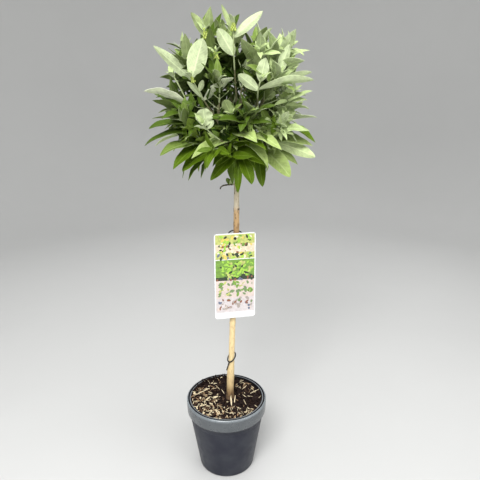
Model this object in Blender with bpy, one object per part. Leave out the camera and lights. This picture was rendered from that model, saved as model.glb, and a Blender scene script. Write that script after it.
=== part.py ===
"""Potted butterfly bush, a young standard: one clear stem with a round head of leafy shoots.

Metres, +Z up. The origin is the centre of the pot's flat underside. The label faces -Y,
and +X is to its right.
"""
import itertools
import math
import random

import bmesh
import bpy
from mathutils import Vector
from mathutils.bvhtree import BVHTree

# Clearance between neighbouring solids, and between round ones whose flat sides bulge past it
GAP = 0.0003
ROUND_GAP = 0.0004

# Pot: a tapered body under a tall rim band, with a grooved lip
POT_HEIGHT = 0.180
POT_STEPS = 40
BASE_RADIUS = 0.0665
BASE_ROUND = 0.005
BODY_TOP_RADIUS = 0.0888
BAND_HEIGHT = 0.034
BAND_STEP = 0.0035
BAND_FOOT_RADIUS = 0.0940
RIM_RADIUS = 0.095
RIM_SHOULDER = 0.003
LIP_WIDTH = 0.0006
GROOVE_DEPTH = 0.0050
GROOVE_WIDTH = 0.0026
INNER_RING_DROP = 0.0003
POT_WALL = 0.0020
POT_FLOOR = 0.0030
RING_WIDTH = 0.0030
RING_FOOT = 0.002

# Soil: nearly level, banked up a little at the back and the left
SOIL_LEVEL = 0.1670
SOIL_RIM_LEVEL = 0.1735
SOIL_BANK = 0.0060
SOIL_RIPPLE = 0.0012
SOIL_SIDES = 32
SOIL_RING_SHARES = (1.0, 0.86, 0.70, 0.52, 0.34)
SOIL_FLAT_RADIUS = 0.016
SOIL_SLOPE_WIDTH = 0.05
SOIL_BANK_WAY = (-0.6, 0.8)
SOIL_WAVES = (190.0, 230.0, 90.0)

# Stem: height above the soil, place to the right of the pot's axis, radius
STEM_COURSE = (
    (0.000, 0.0085, 0.0112),
    (0.008, 0.0086, 0.0094),
    (0.022, 0.0089, 0.0086),
    (0.078, 0.0104, 0.0084),
    (0.104, 0.0124, 0.0068),
    (0.200, 0.0152, 0.0066),
    (0.310, 0.0202, 0.0064),
    (0.421, 0.0245, 0.0062),
    (0.466, 0.0251, 0.0060),
    (0.474, 0.0252, 0.0064),
    (0.482, 0.0252, 0.0057),
    (0.556, 0.0262, 0.0054),
    (0.600, 0.0266, 0.0050),
    (0.646, 0.0270, 0.0036),
)
STEM_BACK_FOOT = 0.012
STEM_BACK_HEAD = 0.004
STEM_SIDES = 10
FLARE_LOBES = 3
FLARE_SHARE = 0.10
COLLAR_PROUD = 0.0030
COLLAR_SWELL = 1.15
TWIG_SWELL = 1.5
FLARE_HEIGHT = 0.02

# Boughs: height on the stem above the soil, azimuth, rise in degrees, length.
# They leave in opposite pairs, each pair turned against the last.
BOUGHS = {
    "low_left": (0.560, 190.0, 24.0, 0.024),
    "low_right": (0.563, 10.0, 22.0, 0.026),
    "low_front": (0.574, 276.0, 20.0, 0.026),
    "low_back": (0.577, 96.0, 22.0, 0.026),
    "high_front_left": (0.602, 228.0, 40.0, 0.046),
    "high_back_right": (0.606, 48.0, 40.0, 0.046),
    "high_front_right": (0.622, 320.0, 42.0, 0.046),
    "high_back_left": (0.626, 140.0, 42.0, 0.046),
}
BOUGH_FOOT_RADIUS = 0.0031
BOUGH_TIP_RADIUS = 0.0020
BOUGH_SIDES = 6
BOUGH_LIFT = 0.35
BOUGH_BEND = 0.3

# Shoots of each mass: azimuth and rise in degrees of the tip seen from the head's centre,
# its distance from there, the turn of its first pair of leaves, and how far apart pairs stand.
HEAD_CENTRE = (0.014, 0.000, 0.876)
SHOOTS = {
    "high_front_left": (
        (230, 16, 0.112, 0, "lead"),
        (201, 40, 0.120, 30, "close"),
        (256, 16, 0.086, 10, "close"),
        (242, 52, 0.092, 60, "close"),
    ),
    "high_front_right": (
        (299, 12, 0.116, 0, "lead"),
        (344, 38, 0.134, 35, "close"),
        (328, 18, 0.112, 0, "close"),
        (318, 46, 0.112, 50, "close"),
    ),
    "top": (
        (277, 65, 0.134, 90, "lead"),
        (150, 64, 0.138, 60, "close"),
        (18, 58, 0.116, 0, "close"),
        (88, 66, 0.130, 40, "close"),
        (310, 52, 0.086, 20, "close"),
        (221, 61, 0.125, 70, "close"),
    ),
    "low_front": (
        (248, -22, 0.134, 0, "lead"),
        (272, -22, 0.092, 60, "close"),
        (298, -18, 0.104, 20, "close"),
    ),
    "low_left": (
        (208, 15, 0.122, 10, "close"),
        (182, -4, 0.116, 50, "close"),
        (212, -24, 0.116, 80, "close"),
        (164, -16, 0.116, 20, "close"),
    ),
    "low_right": (
        (346, 2, 0.124, 30, "close"),
        (6, -16, 0.110, 70, "close"),
        (24, 0, 0.118, 0, "close"),
        (332, -24, 0.124, 55, "close"),
    ),
    "low_back": (
        (66, -8, 0.116, 0, "close"),
        (96, -18, 0.112, 45, "close"),
        (126, -8, 0.116, 80, "close"),
    ),
    "high_back_left": (
        (168, 38, 0.114, 15, "close"),
        (146, 20, 0.122, 60, "close"),
        (118, 38, 0.122, 0, "close"),
    ),
    "high_back_right": (
        (42, 38, 0.116, 50, "close"),
        (74, 24, 0.120, 10, "close"),
        (14, 22, 0.112, 75, "close"),
    ),
}
SHOOT_SEED = 41
SHOOT_LIFT = 0.55
SHOOT_LEAVE = 0.40
SHOOT_CURVE = 0.35
SPACE_SHARE = 0.80
SHOOT_FOOT_RADIUS = 0.0017
SHOOT_TIP_RADIUS = 0.0011
SHOOT_SIDES = 3
SHOOT_STATIONS = 5
AXIS_STEP = 0.02
MASS_STEM = 0.006
MASS_STEM_TAPER = (1.0, 0.9, 0.8)
BUD_LENGTH = 0.010
TOP_STEM_RADIUS = 0.0024

# Leaves stand in opposite pairs: where along the shoot, length, and opening from the shoot
LEAF_NODES = {
    "close": (
        (0.10, 0.060, 94.0),
        (0.20, 0.074, 88.0),
        (0.31, 0.084, 80.0),
        (0.42, 0.090, 72.0),
        (0.53, 0.092, 64.0),
        (0.64, 0.088, 55.0),
        (0.75, 0.078, 46.0),
        (0.86, 0.062, 34.0),
        (0.96, 0.042, 20.0),
    ),
    "lead": ((0.12, 0.074, 94.0), (0.26, 0.086, 84.0), (0.42, 0.084, 76.0)),
}
PAIR_TURN = 90.0
ROLL_SPREAD = 14.0
OPENING_SPREAD = 9.0
SIZE_RANGE = (0.86, 1.10)
WIDTH_RANGE = (0.85, 1.15)
DROOP_RANGE = (0.6, 1.3)
LEAF_SLENDER = 0.34
LEAF_KEEL = 0.022
LEAF_FOLD = 0.26
LEAF_STATION = 0.42
LEAF_ROOT = 0.0003
LEAF_DROOP = 0.80
DROOP_BY_AGE = (1.40, 0.45)
DROOP_BY_LEVEL = (0.5, 1.1)
LEAF_TRIES = (
    (0.0, 0.35, 1.0),
    (0.35, 0.0, 0.95),
    (0.35, 0.5, 0.95),
    (0.7, 0.2, 0.9),
    (1.1, 0.3, 0.85),
    (0.2, 0.9, 0.8),
    (1.6, 0.5, 0.75),
    (0.4, 0.8, 0.6),
)
ROOM_SHARES = (0.3, 0.48, 0.66, 0.83, 1.0)
LEAF_ROOM = 0.0078
LEAF_LIGHT_TURN = 0.40
LEAF_RISE = 0.30
# Nothing grows close before a leaf or a leading shoot that stands out at the front
SIGHT_ROOM = 0.0100
SIGHT_STEP = 0.0100
SIGHT_STEPS = 9
SIGHT_SHARES = (0.5, 0.6, 0.7, 0.8, 0.9, 1.0)
SPACE_MARGIN = 0.0005
LIMB_MARGIN = 0.0006

# Leaves that stand out at the front: mass, number of the shoot in it, place along the shoot, where
# the tip lies from the base (right, back, up), width, how far it bends, where its upper side faces
FACINGS = {
    "up": (0.0, 0.1, 1.0),
    "back": (0.0, 1.0, 0.2),
    "over": (0.0, 0.6, 0.8),
    "front": (0.0, -0.8, 0.6),
    "tilt": (0.0, -0.35, 0.94),
}
STANDOUT_LEAVES = (
    ("high_front_left", 0, 0.58, (0.055, -0.019, 0.042), 0.022, 0.40, "over"),
    ("high_front_left", 0, 0.62, (-0.027, -0.011, 0.03), 0.010, 0.30, "back"),
    ("high_front_left", 0, 0.74, (0.009, -0.016, 0.02), 0.010, 0.30, "back"),
    ("high_front_left", 0, 0.98, (0.022, -0.009, 0.066), 0.035, 0.25, "back"),
    ("high_front_left", 1, 0.56, (-0.085, -0.006, 0.072), 0.022, 0.35, "back"),
    ("high_front_left", 1, 0.72, (-0.066, -0.013, 0.037), 0.018, 0.45, "back"),
    ("high_front_left", 1, 0.98, (-0.035, 0.003, 0.016), 0.012, 0.70, "up"),
    ("high_front_right", 0, 0.78, (-0.037, -0.007, 0.028), 0.020, 0.50, "back"),
    ("high_front_right", 0, 0.79, (0.101, 0.006, 0.019), 0.021, 0.50, "over"),
    ("high_front_right", 0, 0.97, (0.009, -0.007, 0.04), 0.023, 0.20, "back"),
    ("high_front_right", 2, 0.72, (0.075, 0.0, 0.028), 0.016, 0.60, "over"),
    ("high_front_right", 2, 0.95, (0.021, -0.0, 0.058), 0.018, 0.25, "back"),
    ("high_front_right", 2, 0.42, (0.019, -0.018, 0.017), 0.017, 0.40, "back"),
    ("top", 0, 0.71, (-0.029, -0.01, 0.046), 0.026, 0.35, "back"),
    ("top", 0, 0.88, (0.053, 0.0, 0.044), 0.018, 0.40, "back"),
    ("top", 0, 0.93, (-0.022, -0.001, 0.045), 0.009, 0.25, "back"),
    ("top", 0, 0.99, (0.01, -0.0, 0.018), 0.008, 0.20, "front"),
    ("top", 5, 0.95, (-0.027, -0.0, 0.043), 0.016, 0.25, "back"),
    ("low_front", 0, 0.95, (-0.002, -0.013, 0.03), 0.031, 0.50, "back"),
    ("low_front", 0, 0.88, (0.012, -0.007, 0.016), 0.009, 0.30, "back"),
    ("low_front", 0, 0.86, (-0.025, -0.004, 0.007), 0.010, 0.30, "over"),
    ("low_front", 1, 0.97, (-0.013, -0.017, 0.028), 0.020, 0.50, "back"),
    ("low_front", 2, 0.10, (0.024, -0.031, -0.058), 0.027, 0.60, "front"),
    ("low_front", 1, 0.06, (-0.001, -0.022, -0.074), 0.016, 0.60, "front"),
    ("low_right", 3, 0.10, (0.009, -0.042, -0.060), 0.022, 0.60, "front"),
    ("low_right", 3, 0.24, (0.054, -0.051, -0.048), 0.036, 0.90, "front"),
    ("low_right", 3, 0.52, (0.090, -0.030, -0.030), 0.026, 0.70, "back"),
    ("low_right", 0, 0.80, (0.049, -0.007, -0.005), 0.016, 0.60, "over"),
    ("low_left", 0, 0.70, (-0.081, -0.013, 0.028), 0.024, 0.60, "over"),
    ("low_left", 2, 0.70, (-0.099, -0.007, -0.024), 0.028, 0.80, "tilt"),
    ("low_left", 2, 0.92, (-0.075, 0.007, -0.008), 0.022, 0.50, "tilt"),
    ("low_left", 2, 0.45, (-0.084, -0.036, -0.017), 0.032, 0.60, "tilt"),
    ("low_left", 2, 0.24, (-0.056, -0.036, -0.035), 0.027, 0.80, "front"),
    ("low_front", 0, 0.10, (-0.050, -0.028, -0.050), 0.026, 0.70, "front"),
)

# Dead side twig low on the left of the stem, with one young leaf
TWIG_HEIGHT = 0.527
TWIG_LENGTH = 0.028
TWIG_RADIUS = 0.0014
TWIG_AZIMUTH = 183.0
TWIG_DROP = 0.005
TWIG_TAPER = 0.35
TWIG_LEAF_LENGTH = 0.016
TWIG_LEAF_SLENDER = 0.65
TWIG_LEAF_DROOP = 0.5
TWIG_SHARES = (0.0, 0.35, 0.7, 1.0)

# Label card and the loop that holds it to the stem
CARD_WIDTH = 0.092
CARD_HEIGHT = 0.200
CARD_THICKNESS = 0.0010
CARD_CORNER = 0.006
CARD_TOP_HEIGHT = 0.590
CARD_TURN = 12.0
CARD_HOLE_DROP = 0.0115
CARD_HOLE_RADIUS = 0.0022
LOOP_RADIUS = 0.0150
LOOP_THICKNESS = 0.0014
LOOP_SLOPE = 17.0
LOOP_STUD_SIDE = -0.0045
LOOP_STUD_RADIUS = 0.0016
LOOP_HEAD_RADIUS = 0.0031
LOOP_HEAD_THICKNESS = 0.0012
LOOP_HEAD_TAPER = 0.8
LOOP_STEPS = 24
LOOP_SIDES = 5

# Tie round the stem, with one hanging end
TIE_HEIGHT = 0.2795
TIE_THICKNESS = 0.0015
TIE_CLEAR = 0.0009
TIE_FRONT_DROP = 0.0065
TIE_RIGHT_RISE = 0.0060
TIE_STEPS = 20
TIE_TAIL_DROP = 0.024
TIE_TAIL_FROM = 238.0
TIE_TAIL_TO = 205.0
TAIL_STEPS = 6
TAIL_SHARE = 0.9

# Colour, roughness and metallic value of each finish
FINISHES = {
    "pot_plastic": ((0.055, 0.062, 0.076), 0.42, 0.0),
    "potting_mix": ((0.035, 0.024, 0.018), 0.95, 0.0),
    "bark": ((0.58, 0.40, 0.19), 0.80, 0.0),
    "leaf": ((0.12, 0.24, 0.08), 0.60, 0.0),
    "card_print": ((0.62, 0.70, 0.48), 0.35, 0.0),
    "black_plastic": ((0.010, 0.010, 0.011), 0.45, 0.0),
}

UP = Vector((0.0, 0.0, 1.0))
FORWARD = Vector((0.0, 1.0, 0.0))


def clear_scene():
    for item in list(bpy.data.objects):
        bpy.data.objects.remove(item, do_unlink=True)


def finish(name):
    """The material of that name, made at its first use."""
    if name in bpy.data.materials:
        return bpy.data.materials[name]
    colour, roughness, metallic = FINISHES[name]
    material = bpy.data.materials.new(name)
    material.use_nodes = True
    shader = material.node_tree.nodes["Principled BSDF"]
    shader.inputs["Base Color"].default_value = (*colour, 1.0)
    shader.inputs["Roughness"].default_value = roughness
    shader.inputs["Metallic"].default_value = metallic
    return material


def new_object(name, bm, material):
    """A named object from a bmesh, with outward faces, in the scene."""
    bmesh.ops.recalc_face_normals(bm, faces=bm.faces)
    mesh = bpy.data.meshes.new(name)
    bm.to_mesh(mesh)
    bm.free()
    item = bpy.data.objects.new(name, mesh)
    item.data.materials.append(finish(material))
    bpy.context.scene.collection.objects.link(item)
    return item


def direction(azimuth, rise):
    """Unit vector from an azimuth and a rise in degrees."""
    turn = math.radians(azimuth)
    lift = math.radians(rise)
    level = math.cos(lift)
    return Vector((math.cos(turn) * level, math.sin(turn) * level, math.sin(lift)))


def across(axis, hint=UP):
    """Unit vector square to the axis, as near to the hint as can be."""
    side = hint - axis * hint.dot(axis)
    if side.length < 1e-4:
        side = Vector((0.0, 1.0, 0.0)) - axis * axis.y
    return side.normalized()


def skin(bm, rings):
    """Closed skin over a row of rings. A ring of one place is a point."""
    rows = [[bm.verts.new(place) for place in ring] for ring in rings]
    for low, high in zip(rows, rows[1:]):
        sides = max(len(low), len(high))
        for i in range(sides):
            j = (i + 1) % sides
            if len(low) == 1:
                bm.faces.new((low[0], high[j], high[i]))
            elif len(high) == 1:
                bm.faces.new((low[i], low[j], high[0]))
            else:
                bm.faces.new((low[i], low[j], high[j], high[i]))
    for row in (rows[0], rows[-1]):
        if len(row) > 1:
            bm.faces.new(row)


def ring_about(centre, axis, radius, sides, hint):
    """Places of a round ring square to the axis."""
    side = across(axis, hint)
    other = axis.cross(side)
    ring = []
    for i in range(sides):
        turn = math.tau * i / sides
        ring.append(centre + (side * math.cos(turn) + other * math.sin(turn)) * radius)
    return ring


def limb_rings(points, radii, sides, hint):
    """Rings along a bent limb, each square to its course."""
    rings = []
    last = len(points) - 1
    for i, (point, radius) in enumerate(zip(points, radii)):
        axis = (points[min(i + 1, last)] - points[max(i - 1, 0)]).normalized()
        rings.append(ring_about(point, axis, radius, sides, hint))
    return rings


def revolve(name, profile, steps, material):
    """Solid of revolution from a profile that starts and ends on the axis."""
    bm = bmesh.new()
    verts = [bm.verts.new((radius, 0.0, height)) for radius, height in profile]
    edges = [bm.edges.new(pair) for pair in zip(verts, verts[1:])]
    loop = {"cent": (0, 0, 0), "axis": UP, "angle": math.tau, "steps": steps}
    bmesh.ops.spin(bm, geom=verts + edges, use_merge=True, **loop)
    bmesh.ops.remove_doubles(bm, verts=bm.verts, dist=1e-6)
    return new_object(name, bm, material)


def arc(centre, radius, start, end, count):
    """Points of an arc in a profile, angles in degrees."""
    turns = [math.radians(start + (end - start) * i / (count - 1)) for i in range(count)]
    return [(centre[0] + radius * math.cos(a), centre[1] + radius * math.sin(a)) for a in turns]


def evaluated_mesh(item):
    """The object's mesh with its modifiers applied."""
    bpy.context.view_layer.update()
    graph = bpy.context.evaluated_depsgraph_get()
    return bpy.data.meshes.new_from_object(item.evaluated_get(graph), depsgraph=graph)


def largest_body(mesh):
    """Leaves only the largest body of a mesh, joined through its edges, as triangles.

    Corners that only two faces share are dissolved first, so no two faces fold onto each other.
    """
    bm = bmesh.new()
    bm.from_mesh(mesh)
    bodies = []
    seen = set()
    for face in bm.faces:
        if face in seen:
            continue
        body = []
        queue = [face]
        seen.add(face)
        while queue:
            here = queue.pop()
            body.append(here)
            for edge in here.edges:
                for other in edge.link_faces:
                    if other not in seen:
                        seen.add(other)
                        queue.append(other)
        bodies.append(body)
    bodies.sort(key=len)
    scrap = [face for body in bodies[:-1] for face in body]
    bmesh.ops.delete(bm, geom=scrap, context="FACES")
    midway = [vert for vert in bm.verts if len(vert.link_edges) == 2]
    bmesh.ops.dissolve_verts(bm, verts=midway)
    bmesh.ops.triangulate(bm, faces=bm.faces)
    bm.to_mesh(mesh)
    bm.free()


def fuse(item, pieces, solver):
    """Joins the pieces to the object by one Boolean union on a collection, and removes them."""
    group = bpy.data.collections.new(item.name + "_pieces")
    bpy.context.scene.collection.children.link(group)
    for piece in pieces:
        bpy.context.scene.collection.objects.unlink(piece)
        group.objects.link(piece)
    union = item.modifiers.new("union", "BOOLEAN")
    union.operation = "UNION"
    union.operand_type = "COLLECTION"
    union.collection = group
    union.solver = solver
    mesh = evaluated_mesh(item)
    item.modifiers.remove(union)
    for piece in pieces:
        bpy.data.objects.remove(piece, do_unlink=True)
    bpy.data.collections.remove(group)
    largest_body(mesh)
    item.data = mesh
    return item


def pot_inner_radius(height):
    """Radius of the pot's inner wall at a height."""
    body_top = POT_HEIGHT - BAND_HEIGHT
    share = min(height / body_top, 1.0)
    return BASE_RADIUS + (BODY_TOP_RADIUS - BASE_RADIUS) * share - POT_WALL


def rim_radii():
    """Outer and inner radius of the groove in the rim, and inner radius of the ring within it."""
    groove_outer = RIM_RADIUS - RIM_SHOULDER - LIP_WIDTH
    return groove_outer, groove_outer - GROOVE_WIDTH, groove_outer - GROOVE_WIDTH - RING_WIDTH


def make_pot():
    body_top = POT_HEIGHT - BAND_HEIGHT
    groove_outer, groove_inner, ring_inner = rim_radii()
    ring_top = POT_HEIGHT - INNER_RING_DROP
    profile = [(0.0, 0.0)]
    profile += arc((BASE_RADIUS - BASE_ROUND, BASE_ROUND), BASE_ROUND, -90, -6, 4)
    profile += [(BODY_TOP_RADIUS, body_top), (BAND_FOOT_RADIUS, body_top + BAND_STEP)]
    profile += arc((RIM_RADIUS - RIM_SHOULDER, POT_HEIGHT - RIM_SHOULDER), RIM_SHOULDER, 0, 90, 4)
    profile += [(groove_outer, POT_HEIGHT), (groove_outer, POT_HEIGHT - GROOVE_DEPTH)]
    profile += [(groove_inner, POT_HEIGHT - GROOVE_DEPTH), (groove_inner, ring_top)]
    profile += [(ring_inner, ring_top), (ring_inner, POT_HEIGHT - GROOVE_DEPTH - RING_FOOT)]
    profile += [(pot_inner_radius(body_top), body_top), (pot_inner_radius(POT_FLOOR), POT_FLOOR)]
    profile += [(0.0, POT_FLOOR)]
    return revolve("pot", profile, POT_STEPS, "pot_plastic")


def soil_height(x, y):
    """Height of the soil's surface: level round the stem's foot, banked at the back and left."""
    away = math.hypot(x - STEM_COURSE[0][1], y - STEM_BACK_FOOT)
    if away < SOIL_FLAT_RADIUS:
        return SOIL_LEVEL
    share = min((away - SOIL_FLAT_RADIUS) / SOIL_SLOPE_WIDTH, 1.0)
    bank = SOIL_BANK * max(0.0, (x * SOIL_BANK_WAY[0] + y * SOIL_BANK_WAY[1]) / RIM_RADIUS) ** 1.5
    right, back, skew = SOIL_WAVES
    ripple = SOIL_RIPPLE * math.sin(x * right) * math.sin(y * back + x * skew)
    return SOIL_LEVEL + (SOIL_RIM_LEVEL - SOIL_LEVEL + bank + ripple) * share


def make_soil():
    """Fills the pot, just clear of its wall and floor, with rings centred on the stem's foot."""
    foot = Vector((STEM_COURSE[0][1], STEM_BACK_FOOT))
    floor = POT_FLOOR + GAP
    rim = rim_radii()[2] - ROUND_GAP
    turns = [math.tau * i / SOIL_SIDES for i in range(SOIL_SIDES)]
    edge = [Vector((math.cos(t), math.sin(t))) for t in turns]
    low = pot_inner_radius(floor) - ROUND_GAP
    body_top = POT_HEIGHT - BAND_HEIGHT
    rings = [[Vector((p.x * low, p.y * low, floor)) for p in edge]]
    rings.append([Vector((p.x * rim, p.y * rim, body_top)) for p in edge])
    for share in SOIL_RING_SHARES:
        flat = [foot.lerp(p * rim, share) for p in edge]
        rings.append([Vector((p.x, p.y, soil_height(p.x, p.y))) for p in flat])
    flat = [foot + p * SOIL_FLAT_RADIUS * 0.9 for p in edge]
    rings.append([Vector((p.x, p.y, SOIL_LEVEL)) for p in flat])
    bm = bmesh.new()
    skin(bm, rings)
    return new_object("soil", bm, "potting_mix")


def stem_at(height):
    """Centre and radius of the stem at a height above the soil, read between its stations."""
    rows = STEM_COURSE
    index = max(i for i, row in enumerate(rows[:-1]) if height >= row[0] or i == 0)
    low, high = rows[index], rows[index + 1]
    share = min(max((height - low[0]) / (high[0] - low[0]), 0.0), 1.0)
    back_share = height / rows[-1][0]
    x = low[1] + (high[1] - low[1]) * share
    y = STEM_BACK_FOOT + (STEM_BACK_HEAD - STEM_BACK_FOOT) * back_share
    radius = low[2] + (high[2] - low[2]) * share
    return Vector((x, y, SOIL_LEVEL + GAP + height)), radius


def limb_piece(name, points, radii, sides, hint, point_tip=False):
    """A limb as an object of its own, ending flat or in a point."""
    rings = limb_rings(points, radii, sides, hint)
    if point_tip:
        rings[-1] = [points[-1]]
    bm = bmesh.new()
    skin(bm, rings)
    return new_object(name, bm, "bark")


def collar_end(height, azimuth, rise):
    """Where a bough leaves the stem, just past the end of its collar."""
    centre, radius = stem_at(height)
    heading = direction(azimuth, rise)
    reach = radius / max(math.cos(math.radians(rise)), 0.5) + COLLAR_PROUD
    return centre, centre + heading * reach, heading


def make_trunk():
    """Stem from its flat cut at the soil to its tip, with a collar under each bough and twig."""
    rings = []
    for height, _, radius in STEM_COURSE:
        centre, _ = stem_at(height)
        flare = FLARE_SHARE * max(0.0, 1.0 - height / FLARE_HEIGHT)
        ring = []
        for i in range(STEM_SIDES):
            turn = math.tau * i / STEM_SIDES
            reach = radius * (1.0 + flare * math.cos(FLARE_LOBES * turn))
            ring.append(centre + Vector((math.cos(turn), math.sin(turn), 0.0)) * reach)
        rings.append(ring)
    bm = bmesh.new()
    skin(bm, rings)
    trunk = new_object("trunk", bm, "bark")
    collars = []
    for name, (height, azimuth, rise, _) in BOUGHS.items():
        centre, end, _ = collar_end(height, azimuth, rise)
        radii = (BOUGH_FOOT_RADIUS * COLLAR_SWELL, BOUGH_FOOT_RADIUS)
        collars.append(limb_piece("collar_" + name, (centre, end), radii, BOUGH_SIDES, UP))
    centre, end, _ = collar_end(TWIG_HEIGHT, TWIG_AZIMUTH, 0.0)
    radii = (TWIG_RADIUS * TWIG_SWELL, TWIG_RADIUS)
    collars.append(limb_piece("collar_twig", (centre, end), radii, BOUGH_SIDES, UP))
    return fuse(trunk, collars, "EXACT")


def bezier(start, leave, arrive, end, share):
    """Point of a cubic curve that leaves and arrives along two given vectors."""
    rest = 1.0 - share
    first = start + leave
    second = end - arrive
    return (
        start * rest ** 3
        + first * 3.0 * rest * rest * share
        + second * 3.0 * rest * share * share
        + end * share ** 3
    )


def bough_course(name):
    """Points along a bough, from 0.3 mm past its collar to where it enters its mass."""
    height, azimuth, rise, length = BOUGHS[name]
    _, foot, heading = collar_end(height, azimuth, rise)
    start = foot + heading * GAP
    arrival = (heading + UP * BOUGH_LIFT).normalized()
    end = start + heading.lerp(arrival, BOUGH_BEND) * length
    third = length / 3.0
    return [bezier(start, heading * third, arrival * third, end, i / 4.0) for i in range(5)]


def make_boughs():
    boughs = []
    for name in BOUGHS:
        points = bough_course(name)
        step = (BOUGH_TIP_RADIUS - BOUGH_FOOT_RADIUS) / (len(points) - 1)
        radii = [BOUGH_FOOT_RADIUS + step * i for i in range(len(points))]
        boughs.append(limb_piece("bough_" + name, points, radii, BOUGH_SIDES, UP))
    return boughs


def mass_stem(name):
    """Foot, heading and radius of the stem that a mass grows from."""
    if name == "top":
        centre, radius = stem_at(STEM_COURSE[-1][0])
        return centre + UP * GAP, UP.copy(), min(radius, TOP_STEM_RADIUS)
    points = bough_course(name)
    axis = (points[-1] - points[-2]).normalized()
    return points[-1] + axis * GAP, axis, BOUGH_TIP_RADIUS


def shoot_courses(name):
    """The mass's stem end, and a curve for each shoot that branches from it."""
    foot, heading, _ = mass_stem(name)
    fork = foot + heading * MASS_STEM
    courses = []
    for azimuth, rise, reach, turn, habit in SHOOTS[name]:
        outward = direction(azimuth, rise)
        tip = Vector(HEAD_CENTRE) + outward * reach
        span = (tip - fork).length
        leave = (heading * (1.0 - SHOOT_LEAVE) + (tip - fork).normalized() * SHOOT_LEAVE).normalized()
        arrive = (outward * (1.0 - SHOOT_LIFT) + UP * SHOOT_LIFT).normalized()
        courses.append(((fork, leave * span * SHOOT_CURVE, arrive * span * SHOOT_CURVE, tip), turn, habit))
    return fork, courses


def space_seeds():
    """One place in the middle of each mass. A mass's space is all that lies nearest to its own."""
    seeds = {}
    for name in SHOOTS:
        _, courses = shoot_courses(name)
        middles = [bezier(*course, SPACE_SHARE) for course, _, _ in courses]
        seeds[name] = sum(middles, Vector()) / len(middles)
    return seeds


def in_own_space(name, places, seeds, margin):
    """True if every place lies on its own mass's side of each dividing plane."""
    own = seeds[name]
    for other_name, other in seeds.items():
        if other_name == name:
            continue
        middle = (own + other) * 0.5
        away = (other - own).normalized()
        if any((place - middle).dot(away) > -margin for place in places):
            return False
    return True


def leaf_rings(leaf):
    """A leaf as a point, a three-sided ring at its widest and a tip, bent back along an arc."""
    base, heading, face, length, width, droop = leaf
    side = heading.cross(face)
    angle = droop * LEAF_STATION
    middle = leaf_place(leaf, LEAF_STATION)
    normal = face * math.cos(angle) + heading * math.sin(angle)
    half = side * width * 0.5
    lift = normal * width * 0.5 * LEAF_FOLD
    ring = [middle - half + lift, middle - normal * length * LEAF_KEEL, middle + half + lift]
    return [[base], ring, [leaf_place(leaf, 1.0)]]


def leaf_tries(leaf, axis, outward):
    """The leaf as grown, then leaning more and more into its own space, and smaller."""
    base, heading, face, length, width, droop = leaf
    yield leaf
    for to_middle, to_shoot, size in LEAF_TRIES:
        turned = (heading + outward * to_middle + axis * to_shoot).normalized()
        yield base, turned, across(turned, face), length * size, width * size, droop


class Room:
    """Places that leaves already take up, in boxes as wide as the room each place keeps."""

    def __init__(self, width):
        self.width = width
        self.boxes = {}

    def box_of(self, place):
        return tuple(math.floor(value / self.width) for value in place)

    def is_free(self, places):
        for place in places:
            i, j, k = self.box_of(place)
            near = itertools.product((i - 1, i, i + 1), (j - 1, j, j + 1), (k - 1, k, k + 1))
            taken = [other for box in near for other in self.boxes.get(box, ())]
            if any((place - other).length < self.width for other in taken):
                return False
        return True

    def take(self, places):
        for place in places:
            self.boxes.setdefault(self.box_of(place), []).append(place)


def leaf_place(leaf, share):
    """Place on the leaf's midrib at a share of its length."""
    base, heading, face, length, _, droop = leaf
    angle = droop * share
    return base + (heading * math.sin(angle) - face * (1.0 - math.cos(angle))) * (length / droop)


def shoot_place(course, share):
    """Place on the straight stretches that a shoot's solid follows between its stations."""
    below = min(int(share * SHOOT_STATIONS), SHOOT_STATIONS - 1)
    low = bezier(*course, below / SHOOT_STATIONS)
    high = bezier(*course, (below + 1) / SHOOT_STATIONS)
    return low.lerp(high, share * SHOOT_STATIONS - below)


def grow_shoots(name):
    """The stem and shoots of one mass, as rows of points and radii."""
    foot, _, stem_radius = mass_stem(name)
    fork, courses = shoot_courses(name)
    shoots = [((foot, foot.lerp(fork, 0.5), fork), [stem_radius * taper for taper in MASS_STEM_TAPER])]
    stations = [i / SHOOT_STATIONS for i in range(SHOOT_STATIONS + 1)]
    for course, _, _ in courses:
        start, leave, arrive, tip = course
        points = [bezier(*course, share) for share in stations]
        points[0] = start - leave.normalized() * SHOOT_FOOT_RADIUS
        points.append(tip + arrive.normalized() * BUD_LENGTH)
        radii = [SHOOT_FOOT_RADIUS + (SHOOT_TIP_RADIUS - SHOOT_FOOT_RADIUS) * share for share in stations]
        shoots.append((points, radii + [SHOOT_TIP_RADIUS]))
    return shoots


def standout_leaf(course, share, offset, width, droop, facing):
    """A leaf whose tip lies at a given place from its base, bent evenly on the way."""
    chord = Vector(offset)
    along = chord.normalized()
    rise = across(along, Vector(FACINGS[facing]))
    half = droop * 0.5
    heading = along * math.cos(half) + rise * math.sin(half)
    face = rise * math.cos(half) - along * math.sin(half)
    length = chord.length * half / math.sin(half)
    return shoot_place(course, share) - heading * LEAF_ROOT, heading, face, length, width, droop


def leaf_droop(share, heading, rng):
    """How far a leaf bends down, in radians: most low on the shoot and where it lies level."""
    level = math.hypot(heading.x, heading.y)
    aged = DROOP_BY_AGE[0] + (DROOP_BY_AGE[1] - DROOP_BY_AGE[0]) * share
    levelled = DROOP_BY_LEVEL[0] + (DROOP_BY_LEVEL[1] - DROOP_BY_LEVEL[0]) * level
    return LEAF_DROOP * rng.uniform(*DROOP_RANGE) * aged * levelled


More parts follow.
